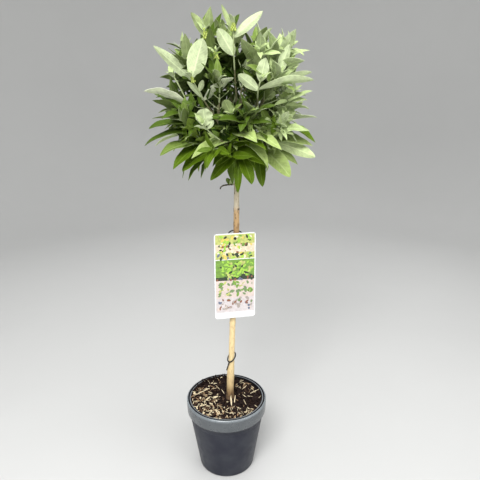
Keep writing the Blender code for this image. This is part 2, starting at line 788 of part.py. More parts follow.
def grow_leaves(name, course, turn, nodes, space):
    """Opposite pairs of leaves along one shoot, each pair turned against the last."""
    leaves = []
    outward = (space.seeds[name] - course[0]).normalized()
    for number, (share, length, opening) in enumerate(nodes):
        place = shoot_place(course, share)
        ahead = bezier(*course, min(share + AXIS_STEP, 1.0))
        axis = (ahead - bezier(*course, share - AXIS_STEP)).normalized()
        side = across(axis)
        other = axis.cross(side)
        for half_turn in (0.0, 180.0):
            spread = space.rng.uniform(-ROLL_SPREAD, ROLL_SPREAD)
            roll = math.radians(turn + PAIR_TURN * number + half_turn + spread)
            open_angle = math.radians(opening + space.rng.uniform(-OPENING_SPREAD, OPENING_SPREAD))
            size = length * space.rng.uniform(*SIZE_RANGE)
            width = size * LEAF_SLENDER * space.rng.uniform(*WIDTH_RANGE)
            out = side * math.cos(roll) + other * math.sin(roll)
            heading = axis * math.cos(open_angle) + out * math.sin(open_angle)
            heading = (heading + UP * LEAF_RISE * share).normalized()
            droop = leaf_droop(share, heading, space.rng)
            face = across(heading, across(heading, axis) + UP * LEAF_LIGHT_TURN)
            leaf = (place - heading * LEAF_ROOT, heading, face, size, width, droop)
            for attempt in leaf_tries(leaf, axis, outward):
                if space.admits(name, attempt):
                    leaves.append(attempt)
                    break
    return leaves


class Space:
    """Where leaves may go: inside their own mass's space, clear of limbs, and not crowded."""

    def __init__(self, limbs, shoots):
        self.seeds = space_seeds()
        self.rng = random.Random(SHOOT_SEED)
        self.room = Room(LEAF_ROOM)
        self.sight = Room(SIGHT_ROOM)
        self.limbs = [limb_tree(item) for item in limbs]
        self.shoots = {name: [limb_tree(item) for item in items] for name, items in shoots.items()}

    def admits(self, name, leaf):
        """True if the leaf fits, which then takes up its room."""
        outline = [place for ring in leaf_rings(leaf) for place in ring]
        if not in_own_space(name, outline, self.seeds, SPACE_MARGIN):
            return False
        rib = [leaf_place(leaf, share) for share in ROOM_SHARES]
        if not self.room.is_free(rib) or not self.sight.is_free(rib) or self.touches(name, leaf):
            return False
        self.room.take(rib)
        return True

    def keep_in_sight(self, places):
        """Keeps a way to the front free from each place."""
        for place in places:
            self.sight.take([place - FORWARD * SIGHT_STEP * step for step in range(1, SIGHT_STEPS + 1)])

    def touches(self, name, leaf):
        """True if the leaf meets the trunk, a bough or another mass's shoot."""
        bm = bmesh.new()
        skin(bm, leaf_rings(leaf))
        tree = BVHTree.FromBMesh(bm)
        bm.free()
        others = [other for key, trees in self.shoots.items() if key != name for other in trees]
        return any(tree.overlap(other) for other in self.limbs + others)


def limb_tree(item):
    """Search tree of a limb's skin, which leaves keep clear of."""
    bm = bmesh.new()
    bm.from_mesh(item.data)
    bmesh.ops.recalc_face_normals(bm, faces=bm.faces)
    for vert in bm.verts:
        vert.co += vert.normal * LIMB_MARGIN
    tree = BVHTree.FromBMesh(bm)
    bm.free()
    return tree


def make_shoots(name):
    """The stem of a mass, which ends flat, and its shoots, which end in points."""
    pieces = []
    for number, (points, radii) in enumerate(grow_shoots(name)):
        pieces.append(limb_piece("shoot", points, radii, SHOOT_SIDES, UP, point_tip=number > 0))
    return pieces


def make_masses(limbs):
    """Each mass as one fused solid of shoots and leaves that keeps to its own space."""
    shoots = {name: make_shoots(name) for name in SHOOTS}
    space = Space(limbs, shoots)
    masses = []
    leaves = {name: [] for name in SHOOTS}
    for name, number, share, *form in STANDOUT_LEAVES:
        leaf = standout_leaf(shoot_courses(name)[1][number][0], share, *form)
        if space.admits(name, leaf):
            leaves[name].append(leaf)
    for rows in leaves.values():
        for leaf in rows:
            space.keep_in_sight([leaf_place(leaf, share) for share in ROOM_SHARES])
    for name in shoots:
        for course, _, habit in shoot_courses(name)[1]:
            if habit == "lead":
                space.keep_in_sight([bezier(*course, share) for share in SIGHT_SHARES])
    for name, pieces in shoots.items():
        _, courses = shoot_courses(name)
        for course, turn, habit in courses:
            leaves[name] += grow_leaves(name, course, turn, LEAF_NODES[habit], space)
        for leaf in leaves[name]:
            bm = bmesh.new()
            skin(bm, leaf_rings(leaf))
            pieces.append(new_object("leaf", bm, "leaf"))
        mass = pieces.pop(0)
        mass.name = "foliage_" + name
        mass.data.materials[0] = finish("leaf")
        masses.append(fuse(mass, pieces, "MANIFOLD"))
    return masses


def make_side_twig():
    """Short dead twig with one young leaf, 0.3 mm clear of its collar."""
    _, end, heading = collar_end(TWIG_HEIGHT, TWIG_AZIMUTH, 0.0)
    start = end + heading * GAP
    drop = -UP * TWIG_DROP
    points = [start + heading * TWIG_LENGTH * s + drop * s * s for s in TWIG_SHARES]
    radii = [TWIG_RADIUS * (1.0 - TWIG_TAPER * s) for s in TWIG_SHARES]
    twig = limb_piece("side_twig", points, radii, 6, UP)
    leaf_foot = points[0].lerp(points[1], 0.4)
    lean = (heading * 0.5 + UP).normalized()
    width = TWIG_LEAF_LENGTH * TWIG_LEAF_SLENDER
    leaf = (leaf_foot, lean, across(lean, -heading), TWIG_LEAF_LENGTH, width, TWIG_LEAF_DROOP)
    bm = bmesh.new()
    skin(bm, leaf_rings(leaf))
    return fuse(twig, [new_object("twig_leaf", bm, "leaf")], "EXACT")


def card_axes():
    """Sideways and forward unit vectors of the label, and the stem's centre behind its hole."""
    turn = math.radians(CARD_TURN)
    sideways = Vector((math.cos(turn), math.sin(turn), 0.0))
    forward = Vector((math.sin(turn), -math.cos(turn), 0.0))
    height = CARD_TOP_HEIGHT - CARD_HOLE_DROP - SOIL_LEVEL - GAP
    centre, radius = stem_at(height)
    return sideways, forward, centre, radius


def make_label_card():
    """Thin card with round corners and one hole, hanging just in front of the loop."""
    sideways, forward, centre, radius = card_axes()
    back = centre + forward * (radius + 2.0 * LOOP_THICKNESS + 2.0 * GAP) + sideways * LOOP_STUD_SIDE
    top = UP * CARD_HOLE_DROP
    half = sideways * CARD_WIDTH * 0.5
    corners = [back + top - half, back + top + half]
    corners += [place - UP * CARD_HEIGHT for place in reversed(corners)]
    bm = bmesh.new()
    bm.faces.new([bm.verts.new(place) for place in corners])
    bmesh.ops.bevel(bm, geom=list(bm.verts), offset=CARD_CORNER, segments=4, profile=0.5, affect="VERTICES")
    raised = bmesh.ops.extrude_face_region(bm, geom=bm.faces[:])["geom"]
    moved = [part for part in raised if isinstance(part, bmesh.types.BMVert)]
    bmesh.ops.translate(bm, vec=forward * CARD_THICKNESS, verts=moved)
    card = new_object("label_card", bm, "card_print")
    ends = (back - forward * CARD_THICKNESS, back + forward * CARD_THICKNESS * 2.0)
    punch = limb_piece("punch", ends, (CARD_HOLE_RADIUS,) * 2, 16, UP)
    cut = card.modifiers.new("hole", "BOOLEAN")
    cut.operation = "DIFFERENCE"
    cut.object = punch
    cut.solver = "EXACT"
    card.data = evaluated_mesh(card)
    card.modifiers.clear()
    bpy.data.objects.remove(punch, do_unlink=True)
    return card


def make_label_loop():
    """Round strap sloping up behind the stem, with a stud and head through the card's hole."""
    sideways, forward, centre, radius = card_axes()
    slope = math.radians(LOOP_SLOPE)
    climb = -forward * math.cos(slope) + UP * math.sin(slope)
    front = centre + forward * (radius + GAP + LOOP_THICKNESS)
    middle = front + climb * LOOP_RADIUS
    rings = []
    for i in range(LOOP_STEPS):
        turn = math.tau * i / LOOP_STEPS
        place = middle + (sideways * math.cos(turn) + climb * math.sin(turn)) * LOOP_RADIUS
        axis = climb * math.cos(turn) - sideways * math.sin(turn)
        rings.append(ring_about(place, axis, LOOP_THICKNESS, LOOP_SIDES, sideways.cross(climb)))
    loop = closed_tube("label_loop", rings)
    rise = 1.0 - math.sqrt(1.0 - (LOOP_STUD_SIDE / LOOP_RADIUS) ** 2)
    setback = LOOP_RADIUS * math.cos(slope) * rise
    root = front + sideways * LOOP_STUD_SIDE - forward * setback
    card_back = front + forward * (LOOP_THICKNESS + GAP) + sideways * LOOP_STUD_SIDE
    card_front = card_back + forward * CARD_THICKNESS
    root.z = card_back.z
    neck_end = card_front + forward * (GAP + LOOP_HEAD_THICKNESS * 0.5)
    neck = limb_piece("neck", (root, neck_end), (LOOP_STUD_RADIUS,) * 2, 10, UP)
    head_from = card_front + forward * GAP
    head_to = head_from + forward * LOOP_HEAD_THICKNESS
    radii = (LOOP_HEAD_RADIUS, LOOP_HEAD_RADIUS * LOOP_HEAD_TAPER)
    head = limb_piece("head", (head_from, head_to), radii, 12, UP)
    return fuse(loop, [neck, head], "EXACT")


def closed_tube(name, rings):
    """Tube through rings that close on themselves."""
    bm = bmesh.new()
    rows = [[bm.verts.new(place) for place in ring] for ring in rings]
    for low, high in zip(rows, rows[1:] + rows[:1]):
        sides = len(low)
        for i in range(sides):
            j = (i + 1) % sides
            bm.faces.new((low[i], low[j], high[j], high[i]))
    return new_object(name, bm, "black_plastic")


def tie_height(turn):
    """Height of the band at an angle round the stem."""
    return TIE_HEIGHT + TIE_FRONT_DROP * math.sin(turn) + TIE_RIGHT_RISE * math.cos(turn)


def tie_place(turn, height):
    """Middle of the tie at an angle round the stem, just clear of the bark, and its way out."""
    centre, radius = stem_at(height - SOIL_LEVEL - GAP)
    reach = radius + TIE_CLEAR + TIE_THICKNESS
    return centre + Vector((math.cos(turn), math.sin(turn), 0.0)) * reach, reach


def make_stem_tie():
    """Band round the stem, low at the front, with one end hanging down its left side."""
    rings = []
    for i in range(TIE_STEPS):
        turn = math.tau * i / TIE_STEPS
        place, reach = tie_place(turn, tie_height(turn))
        slope = TIE_FRONT_DROP * math.cos(turn) - TIE_RIGHT_RISE * math.sin(turn)
        axis = Vector((-math.sin(turn) * reach, math.cos(turn) * reach, slope)).normalized()
        rings.append(ring_about(place, axis, TIE_THICKNESS, LOOP_SIDES, UP))
    band = closed_tube("stem_tie", rings)
    start = math.radians(TIE_TAIL_FROM)
    stop = math.radians(TIE_TAIL_TO)
    top = tie_height(start)
    points = []
    for i in range(TAIL_STEPS + 1):
        share = i / TAIL_STEPS
        points.append(tie_place(start + (stop - start) * share, top - TIE_TAIL_DROP * share)[0])
    tail = limb_piece("tail", points, (TIE_THICKNESS * TAIL_SHARE,) * len(points), LOOP_SIDES, UP)
    return fuse(band, [tail], "EXACT")


def main():
    clear_scene()
    make_pot()
    make_soil()
    trunk = make_trunk()
    boughs = make_boughs()
    make_masses([trunk] + boughs)
    make_side_twig()
    make_label_card()
    make_label_loop()
    make_stem_tie()


if __name__ == "__main__":
    main()
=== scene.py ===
"""Looks of a potted butterfly bush, a young standard with a round leafy head.

Laid out as an add-on and run as a script. Metres, +Z up, and the label faces -Y.
"""
import itertools
import math
import random

import bmesh
import bpy
import numpy as np
from bpy.props import FloatProperty, FloatVectorProperty, IntProperty, PointerProperty
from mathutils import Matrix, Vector, noise
from mathutils.bvhtree import BVHTree


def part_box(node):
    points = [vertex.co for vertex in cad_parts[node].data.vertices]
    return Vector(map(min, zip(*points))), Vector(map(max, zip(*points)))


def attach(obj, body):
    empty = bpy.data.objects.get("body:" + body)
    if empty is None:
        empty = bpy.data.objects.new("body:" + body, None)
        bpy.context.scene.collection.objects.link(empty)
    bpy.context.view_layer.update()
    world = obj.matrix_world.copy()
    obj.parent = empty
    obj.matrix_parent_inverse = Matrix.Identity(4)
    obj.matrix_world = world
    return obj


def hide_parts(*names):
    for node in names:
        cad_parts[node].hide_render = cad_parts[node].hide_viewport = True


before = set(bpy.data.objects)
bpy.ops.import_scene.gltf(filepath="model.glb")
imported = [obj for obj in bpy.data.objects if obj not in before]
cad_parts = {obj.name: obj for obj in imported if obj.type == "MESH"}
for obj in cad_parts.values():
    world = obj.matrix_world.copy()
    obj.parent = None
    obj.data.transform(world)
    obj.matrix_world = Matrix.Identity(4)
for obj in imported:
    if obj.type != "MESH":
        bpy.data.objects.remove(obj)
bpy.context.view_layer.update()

bl_info = {
    "name": "Potted butterfly bush",
    "version": (1, 0, 0),
    "blender": (4, 5, 0),
    "location": "3D View > Sidebar > Bush",
    "description": "Dresses a young standard butterfly bush in its pot",
    "category": "Add Mesh",
}

BODY = "root"
UP = Vector((0.0, 0.0, 1.0))
FORWARD = Vector((0.0, 1.0, 0.0))
GAP = 0.0003
ROUND_GAP = 0.0004

# Pot, read from its solid, and the depths of its mouldings
RIM_RADIUS, _, POT_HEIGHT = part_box("pot")[1]
BASE_RADIUS = 0.0665
BASE_ROUND = 0.005
FOOT_RING = 0.01
FOOT_RECESS = 0.001
BODY_TOP_RADIUS = 0.0888
BAND_HEIGHT = 0.034
BODY_TOP = POT_HEIGHT - BAND_HEIGHT
BAND_STEP = 0.0035
BAND_FOOT_RADIUS = 0.094
RIM_SHOULDER = 0.003
# Painted highlight on the rim's upper edge: depth where it starts and where it is full, patches, strength
EDGE_DEPTH = 0.0065
EDGE_FULL = RIM_SHOULDER * 0.6
EDGE_HIGHLIGHT_PATCHES = 35.0
EDGE_HIGHLIGHT_RANGE = (0.45, 0.95)
LIP_WIDTH = 0.0006
GROOVE_DEPTH = 0.005
GROOVE_WIDTH = 0.0026
INNER_RING_DROP = 0.0003
POT_WALL = 0.002
POT_FLOOR = 0.003
RING_WIDTH = 0.003
RING_FOOT = 0.002
LINE_HEIGHTS = (0.14, 0.1365, 0.133)
LINE_DEPTH = 0.0003
LINE_HALF = 0.0005
POT_BEVEL = 0.0003
POT_CREASE = 35.0

# Soil
SOIL_LEVEL = 0.167
SOIL_RIM_LEVEL = 0.1735
SOIL_BANK = 0.006
SOIL_RIPPLE = 0.0012
SOIL_FLAT_RADIUS = 0.016
SOIL_SLOPE_WIDTH = 0.05
SOIL_BANK_WAY = (-0.6, 0.8)
SOIL_WAVES = (190.0, 230.0, 90.0)
SOIL_RINGS = 44
SOIL_STEPS = 132
LUMP_SCALE = 260.0
LUMP_RANGE = (-0.9, 1.2)

# Crumbs: smallest size and how much larger they get, distance from the ring, the wet and the dry
CRUMB_SEED = 11
CRUMB_SIZE = 0.0012
CRUMB_SPREAD = 0.0042
CRUMB_INSET = 0.003
CRUMB_TONES = (0, 0, 0, 1)
CRUMB_JITTER = 0.3
# Crumbs heaped against the rim at the back left: azimuths, distances from the axis, rise
HEAP_AZIMUTHS = (92.0, 168.0)
HEAP_REACHES = (0.074, 0.087)
HEAP_RISE = 0.0062

# Chips: shares of splinters, flakes and bark, with the length and width of each
CHIP_KINDS = (
    (0.52, (0.004, 0.015), (0.0009, 0.0018)),
    (0.18, (0.0045, 0.008), (0.0022, 0.0042)),
    (0.3, (0.004, 0.012), (0.0018, 0.004)),
)
CHIP_SEED = 23
CHIP_INSET = 0.004
CHIP_OVERHANG = 0.003
CHIP_THICKNESS = (0.0005, 0.0011)
CHIP_NARROWING = 0.55
CHIP_ARCH = 0.8
CHIP_JITTER = 0.2
CHIP_CLEAR = 0.0004
# Where chips lie thick, or thin below zero: share, then middle and width to the right and to the back
CHIP_SHARE = 0.22
CHIP_LEAST = 0.05
CHIP_PATCHES = (
    (0.45, 0.0, math.inf, -0.064, 0.04),
    (0.75, -0.052, 0.04, -0.004, 0.06),
    (0.4, 0.052, 0.03, 0.046, 0.022),
    (-0.6, 0.045, 0.03, -0.004, 0.036),
    (-0.35, -0.004, 0.026, 0.03, 0.03),
)
# Chips that catch the eye: right, back, azimuth, rise, length, width
LAID_CHIPS = (
    (-0.0615, 0.018, 36.0, 3.0, 0.046, 0.0027),
    (0.07, 0.026, 34.0, 4.0, 0.026, 0.0016),
    (0.044, 0.044, 50.0, 6.0, 0.017, 0.0021),
    (0.063, 0.036, -68.0, 4.0, 0.016, 0.003),
    (0.0115, -0.015, 96.0, 30.0, 0.024, 0.0034),
    (0.02, -0.006, 80.0, 42.0, 0.018, 0.0026),
    (-0.02, -0.052, -46.0, 2.0, 0.014, 0.0056),
    (-0.079, 0.012, 88.0, 14.0, 0.015, 0.005),
    (-0.046, -0.006, 52.0, 5.0, 0.018, 0.0042),
    (-0.034, -0.026, -58.0, 3.0, 0.022, 0.004),
    (-0.027, 0.008, 20.0, 5.0, 0.013, 0.0058),
    (-0.056, -0.03, 14.0, 3.0, 0.013, 0.006),
    (-0.052, -0.054, 24.0, 3.0, 0.021, 0.0022),
    (0.056, -0.046, 130.0, 6.0, 0.017, 0.0024),
)

# Stem: height above the soil, place to the right of the pot's axis, radius
STEM_COURSE = (
    (0.0, 0.0085, 0.0112),
    (0.008, 0.0086, 0.0094),
    (0.022, 0.0089, 0.0086),
    (0.078, 0.0104, 0.0084),
    (0.104, 0.0124, 0.0068),
    (0.2, 0.0152, 0.0066),
    (0.31, 0.0202, 0.0064),
    (0.421, 0.0245, 0.0062),
    (0.466, 0.0251, 0.006),
    (0.474, 0.0252, 0.0064),
    (0.482, 0.0252, 0.0057),
    (0.556, 0.0262, 0.0054),
    (0.6, 0.0266, 0.005),
    (0.646, 0.027, 0.0036),
)
STEM_BACK_FOOT = 0.012
STEM_BACK_HEAD = 0.004
STEM_RING_STEP = 0.0022
FLARE_LOBES = 3
FLARE_SHARE = 0.1
FLARE_HEIGHT = 0.02
COLLAR_PROUD = 0.003
DARK_NODE_HEIGHT = 0.474
# Steps from there over which the darkening fades in and out, and shares of the radius where it sets in
DARK_NODE_FADES = ((-0.003, -0.0008), (0.0008, 0.0034))
DARK_NODE_SIDE = (0.1, 0.6)
NODE_HEIGHTS = (0.062, 0.135, 0.203, 0.268, 0.336, 0.398, 0.44, 0.474, 0.527)
# How far a node and a bough's collar stand out, and over what height
NODE_BULGE = (0.0005, 0.003)
COLLAR_BULGE = (0.0014, 0.0055)
# Bark along the stem, from the soil to its tip
BARK_ZONES = (
    (0.0, (0.08, 0.045, 0.025)),
    (0.03, (0.3, 0.18, 0.08)),
    (0.06, (0.72, 0.53, 0.27)),
    (0.14, (0.9, 0.71, 0.38)),
    (0.34, (0.89, 0.69, 0.37)),
    (0.6, (0.62, 0.42, 0.2)),
    (0.655, (0.36, 0.21, 0.09)),
    (0.69, (0.5, 0.32, 0.15)),
    (0.728, (0.56, 0.38, 0.2)),
    (0.745, (0.62, 0.55, 0.42)),
    (0.81, (0.54, 0.48, 0.34)),
    (0.88, (0.26, 0.22, 0.1)),
    (1.0, (0.22, 0.26, 0.1)),
)
# How much of the bark is scarred, from the soil to the tip
BARK_SCARS = ((0.0, 0.8), (0.06, 0.2), (0.62, 0.12), (0.66, 0.5), (0.74, 0.85), (0.9, 0.5), (1.0, 0.0))

# Boughs: height on the stem above the soil, azimuth, rise in degrees, length
BOUGHS = {
    "low_left": (0.56, 190.0, 24.0, 0.024),
    "low_right": (0.563, 10.0, 22.0, 0.026),
    "low_front": (0.574, 276.0, 20.0, 0.026),
    "low_back": (0.577, 96.0, 22.0, 0.026),
    "high_front_left": (0.602, 228.0, 40.0, 0.046),
    "high_back_right": (0.606, 48.0, 40.0, 0.046),
    "high_front_right": (0.622, 320.0, 42.0, 0.046),
    "high_back_left": (0.626, 140.0, 42.0, 0.046),
}
BOUGH_FOOT_RADIUS = 0.0031
BOUGH_TIP_RADIUS = 0.002
BOUGH_LIFT = 0.35
BOUGH_BEND = 0.3
BOUGH_RINGS = 15
BOUGH_UNEVEN = 0.00025
COLLAR_TAPER = (0.0, 0.6, 0.85, 1.0)

# Shoots of each mass: azimuth and rise in degrees of the tip seen from the head's centre,
# its distance from there, the turn of its first pair of leaves, and how far apart pairs stand
HEAD_CENTRE = (0.014, 0.0, 0.876)
SHOOTS = {
    "high_front_left": (
        (230, 16, 0.112, 0, "lead"), (201, 40, 0.12, 30, "close"), (256, 16, 0.086, 10, "close"),
        (242, 52, 0.092, 60, "close"),
    ),
    "high_front_right": (
        (299, 12, 0.116, 0, "lead"), (344, 38, 0.134, 35, "close"), (328, 18, 0.112, 0, "close"),
        (318, 46, 0.112, 50, "close"),
    ),
    "top": (
        (277, 65, 0.134, 90, "lead"), (150, 64, 0.138, 60, "close"), (18, 58, 0.116, 0, "close"),
        (88, 66, 0.13, 40, "close"), (310, 52, 0.086, 20, "close"), (221, 61, 0.125, 70, "close"),
    ),
    "low_front": (
        (248, -22, 0.134, 0, "lead"), (272, -22, 0.092, 60, "close"), (298, -18, 0.104, 20, "close"),
    ),
    "low_left": (
        (208, 15, 0.122, 10, "close"), (182, -4, 0.116, 50, "close"), (212, -24, 0.116, 80, "close"),
        (164, -16, 0.116, 20, "close"),
    ),
    "low_right": (
        (346, 2, 0.124, 30, "close"), (6, -16, 0.11, 70, "close"), (24, 0, 0.118, 0, "close"),
        (332, -24, 0.124, 55, "close"),
    ),
    "low_back": (
        (66, -8, 0.116, 0, "close"), (96, -18, 0.112, 45, "close"), (126, -8, 0.116, 80, "close"),
    ),
    "high_back_left": (
        (168, 38, 0.114, 15, "close"), (146, 20, 0.122, 60, "close"), (118, 38, 0.122, 0, "close"),
    ),
    "high_back_right": (
        (42, 38, 0.116, 50, "close"), (74, 24, 0.12, 10, "close"), (14, 22, 0.112, 75, "close"),
    ),
}
SHOOT_SEED = 41
SHOOT_LIFT = 0.55
SHOOT_LEAVE = 0.4
SHOOT_CURVE = 0.35
SPACE_SHARE = 0.8
SHOOT_FOOT_RADIUS = 0.0017
SHOOT_TIP_RADIUS = 0.0011
SHOOT_SIDES = 3
SHOOT_STATIONS = 5
AXIS_STEP = 0.02
MASS_STEM = 0.006
MASS_STEM_TAPER = (1.0, 0.9, 0.8)
BUD_LENGTH = 0.01
TOP_STEM_RADIUS = 0.0024

# Leaves stand in opposite pairs: where along the shoot, length, and opening from the shoot
LEAF_NODES = {
    "close": (
        (0.1, 0.06, 94.0),
        (0.2, 0.074, 88.0),
        (0.31, 0.084, 80.0),
        (0.42, 0.09, 72.0),
        (0.53, 0.092, 64.0),
        (0.64, 0.088, 55.0),
        (0.75, 0.078, 46.0),
        (0.86, 0.062, 34.0),
        (0.96, 0.042, 20.0),
    ),
    "lead": ((0.12, 0.074, 94.0), (0.26, 0.086, 84.0), (0.42, 0.084, 76.0)),
}
PAIR_TURN = 90.0
ROLL_SPREAD = 14.0
OPENING_SPREAD = 9.0
SIZE_RANGE = (0.86, 1.1)
WIDTH_RANGE = (0.85, 1.15)
DROOP_RANGE = (0.6, 1.3)
LEAF_SLENDER = 0.34
LEAF_KEEL = 0.022
LEAF_FOLD = 0.26
LEAF_STATION = 0.42
LEAF_ROOT = 0.0003
LEAF_DROOP = 0.8
DROOP_BY_AGE = (1.4, 0.45)
DROOP_BY_LEVEL = (0.5, 1.1)
LEAF_TRIES = (
    (0.0, 0.35, 1.0),
    (0.35, 0.0, 0.95),
    (0.35, 0.5, 0.95),
    (0.7, 0.2, 0.9),
    (1.1, 0.3, 0.85),
    (0.2, 0.9, 0.8),
    (1.6, 0.5, 0.75),
    (0.4, 0.8, 0.6),
)
ROOM_SHARES = (0.3, 0.48, 0.66, 0.83, 1.0)
LEAF_ROOM = 0.0078
LEAF_LIGHT_TURN = 0.4
LEAF_RISE = 0.3
# Nothing grows close before a leaf or a leading shoot that stands out at the front
SIGHT_ROOM = 0.01
SIGHT_STEP = 0.01
SIGHT_STEPS = 9
SIGHT_SHARES = (0.5, 0.6, 0.7, 0.8, 0.9, 1.0)
SPACE_MARGIN = 0.0005
LIMB_MARGIN = 0.0006

# Leaves that stand out at the front: mass, number of the shoot in it, place along the shoot,
# where the tip lies from the base (right, back, up), width, how far it bends, where its upper
# side faces, tone
FACINGS = {
    "up": (0.0, 0.1, 1.0),
    "back": (0.0, 1.0, 0.2),
    "over": (0.0, 0.6, 0.8),
    "front": (0.0, -0.8, 0.6),
    "tilt": (0.0, -0.35, 0.94),
}
STANDOUT_LEAVES = (
    ("high_front_left", 0, 0.58, (0.055, -0.019, 0.042), 0.022, 0.4, "over", "pale"),
    ("high_front_left", 0, 0.62, (-0.027, -0.011, 0.03), 0.01, 0.3, "back", "young"),
    ("high_front_left", 0, 0.74, (0.009, -0.016, 0.02), 0.01, 0.3, "back", "young"),
    ("high_front_left", 0, 0.98, (0.022, -0.009, 0.066), 0.035, 0.25, "back", "young"),
    ("high_front_left", 1, 0.56, (-0.085, -0.006, 0.072), 0.022, 0.35, "back", "young"),
    ("high_front_left", 1, 0.72, (-0.066, -0.013, 0.037), 0.018, 0.45, "back", "young"),
    ("high_front_left", 1, 0.98, (-0.035, 0.003, 0.016), 0.012, 0.7, "up", "mature"),
    ("high_front_right", 0, 0.78, (-0.037, -0.007, 0.028), 0.02, 0.5, "back", "young"),
    ("high_front_right", 0, 0.79, (0.101, 0.006, 0.019), 0.021, 0.5, "over", "young"),
    ("high_front_right", 0, 0.97, (0.009, -0.007, 0.04), 0.023, 0.2, "back", "young"),
    ("high_front_right", 2, 0.72, (0.075, 0.0, 0.028), 0.016, 0.6, "over", "young"),
    ("high_front_right", 2, 0.95, (0.021, -0.0, 0.058), 0.018, 0.25, "back", "young"),
    ("high_front_right", 2, 0.42, (0.019, -0.018, 0.017), 0.017, 0.4, "back", "fresh"),
    ("top", 0, 0.71, (-0.029, -0.01, 0.046), 0.026, 0.35, "back", "young"),
    ("top", 0, 0.88, (0.053, 0.0, 0.044), 0.018, 0.4, "back", "young"),
    ("top", 0, 0.93, (-0.022, -0.001, 0.045), 0.009, 0.25, "back", "fresh"),
    ("top", 0, 0.99, (0.01, -0.0, 0.018), 0.008, 0.2, "front", "mature"),
    ("top", 5, 0.95, (-0.027, -0.0, 0.043), 0.016, 0.25, "back", "fresh"),
    ("low_front", 0, 0.95, (-0.002, -0.013, 0.03), 0.031, 0.5, "back", "young"),
    ("low_front", 0, 0.88, (0.012, -0.007, 0.016), 0.009, 0.3, "back", "young"),
    ("low_front", 0, 0.86, (-0.025, -0.004, 0.007), 0.01, 0.3, "over", "young"),
    ("low_front", 1, 0.97, (-0.013, -0.017, 0.028), 0.02, 0.5, "back", "fresh"),
    ("low_front", 2, 0.1, (0.024, -0.031, -0.058), 0.027, 0.6, "front", "low"),
    ("low_front", 1, 0.06, (-0.001, -0.022, -0.074), 0.016, 0.6, "front", "low"),
    ("low_right", 3, 0.1, (0.009, -0.042, -0.06), 0.022, 0.6, "front", "low"),
    ("low_right", 3, 0.24, (0.054, -0.051, -0.048), 0.036, 0.9, "front", "lime"),
    ("low_right", 3, 0.52, (0.09, -0.03, -0.03), 0.026, 0.7, "back", "lime"),
    ("low_right", 0, 0.8, (0.049, -0.007, -0.005), 0.016, 0.6, "over", "lime"),
    ("low_left", 0, 0.7, (-0.081, -0.013, 0.028), 0.024, 0.6, "over", "pale"),
    ("low_left", 2, 0.7, (-0.099, -0.007, -0.024), 0.028, 0.8, "tilt", "mature"),
    ("low_left", 2, 0.92, (-0.075, 0.007, -0.008), 0.022, 0.5, "tilt", "mature"),
    ("low_left", 2, 0.45, (-0.084, -0.036, -0.017), 0.032, 0.6, "tilt", "fresh"),
    ("low_left", 2, 0.24, (-0.056, -0.036, -0.035), 0.027, 0.8, "front", "low"),
    ("low_front", 0, 0.1, (-0.05, -0.028, -0.05), 0.026, 0.7, "front", "low"),
)

# Sprigs: the short side shoots that stand in the leaf axils, with small leaves of their own
SPRIG_SEED = 57
SPRIG_TOP_SHARE = 0.88
SPRIG_CHANCE = 0.95
SPRIG_LENGTH = (0.018, 0.05)
SPRIG_OPENING = 46.0
SPRIG_RADIUS = 0.0008
SPRIG_PAIRS = ((0.3, 0.034, 70.0), (0.58, 0.04, 58.0), (0.82, 0.034, 44.0), (0.98, 0.024, 24.0))
SPRIG_ROOM = 0.0038
SPRIG_CURVE = 0.33
SPRIG_STRAY = (-8.0, 10.0)
# How far a sprig bends to the way of its shoot, and upward
SPRIG_BEND = (0.4, 0.35)
# Roll and opening of a small leaf stray by so many degrees, its size and its slenderness by shares
SMALL_ROLL = 20.0
SMALL_OPENING = 10.0
SMALL_SIZES = (0.75, 1.25)
SMALL_SLENDER = (0.26, 0.36)
TIP_PAIRS = ((0.985, 0.024, 20.0), (1.0, 0.015, 10.0))
WOOD_STATIONS = 14
WOOD_SWELLING = 0.18

# Tones of the leaves, each with the colour of its upper side and of its underside. From dark to pale
# they go partly by age and partly by painted shade: the darkest also stand for shade inside the head.
LEAF_TONES = {
    "deep": ("Old leaves inside the head", (0.02, 0.05, 0.002), (0.064, 0.098, 0.022)),
    "mature": ("Full-grown leaves", (0.06, 0.108, 0.006), (0.18, 0.24, 0.075)),
    "fresh": ("Leaves still growing", (0.17, 0.25, 0.045), (0.38, 0.46, 0.21)),
    "young": ("Leaves at the tips", (0.41, 0.51, 0.22), (0.59, 0.68, 0.4)),
    "low": ("Vivid leaves low in the head", (0.084, 0.15, 0.003), (0.24, 0.34, 0.055)),
    "lime": ("Thin pale leaves low on the right", (0.33, 0.43, 0.13), (0.56, 0.66, 0.34)),
    "pale": ("Leaves that catch the light", (0.62, 0.71, 0.4), (0.82, 0.89, 0.61)),
}
TONES = tuple(LEAF_TONES)
# The least light for each tone that goes by light
TONE_FROM = (("young", 0.97), ("fresh", 0.87), ("mature", 0.62), ("deep", -1.0))
LEAD_AGE = 0.1
# Shares of a leaf's light that come from its age and from its place; the share from its place is
# painted shade, darker towards the middle of the head
AGE_SHARE = 0.6
PLACE_SHARE = 0.4
TONE_STRAY = 0.08
LOW_STRAY = 0.02
HEAD_REACH = 0.125
# Below this height leaves take the vivid low tone, and mostly on the right the lime tone: partly painted
# light through them
LOW_FROM = -0.07
LIME_SHARE = 0.75
LIME_FROM = 0.6
LIME_RIGHT = 0.03
# Painted light: how much lighter the tones of a mass are than at the front of the head
MASS_LIGHT = {
    "high_front_right": 0.21,
    "low_right": 0.32,
    "low_left": -0.04,
    "high_back_right": 0.33,
    "high_back_left": 0.06,
    "low_back": 0.06,
}

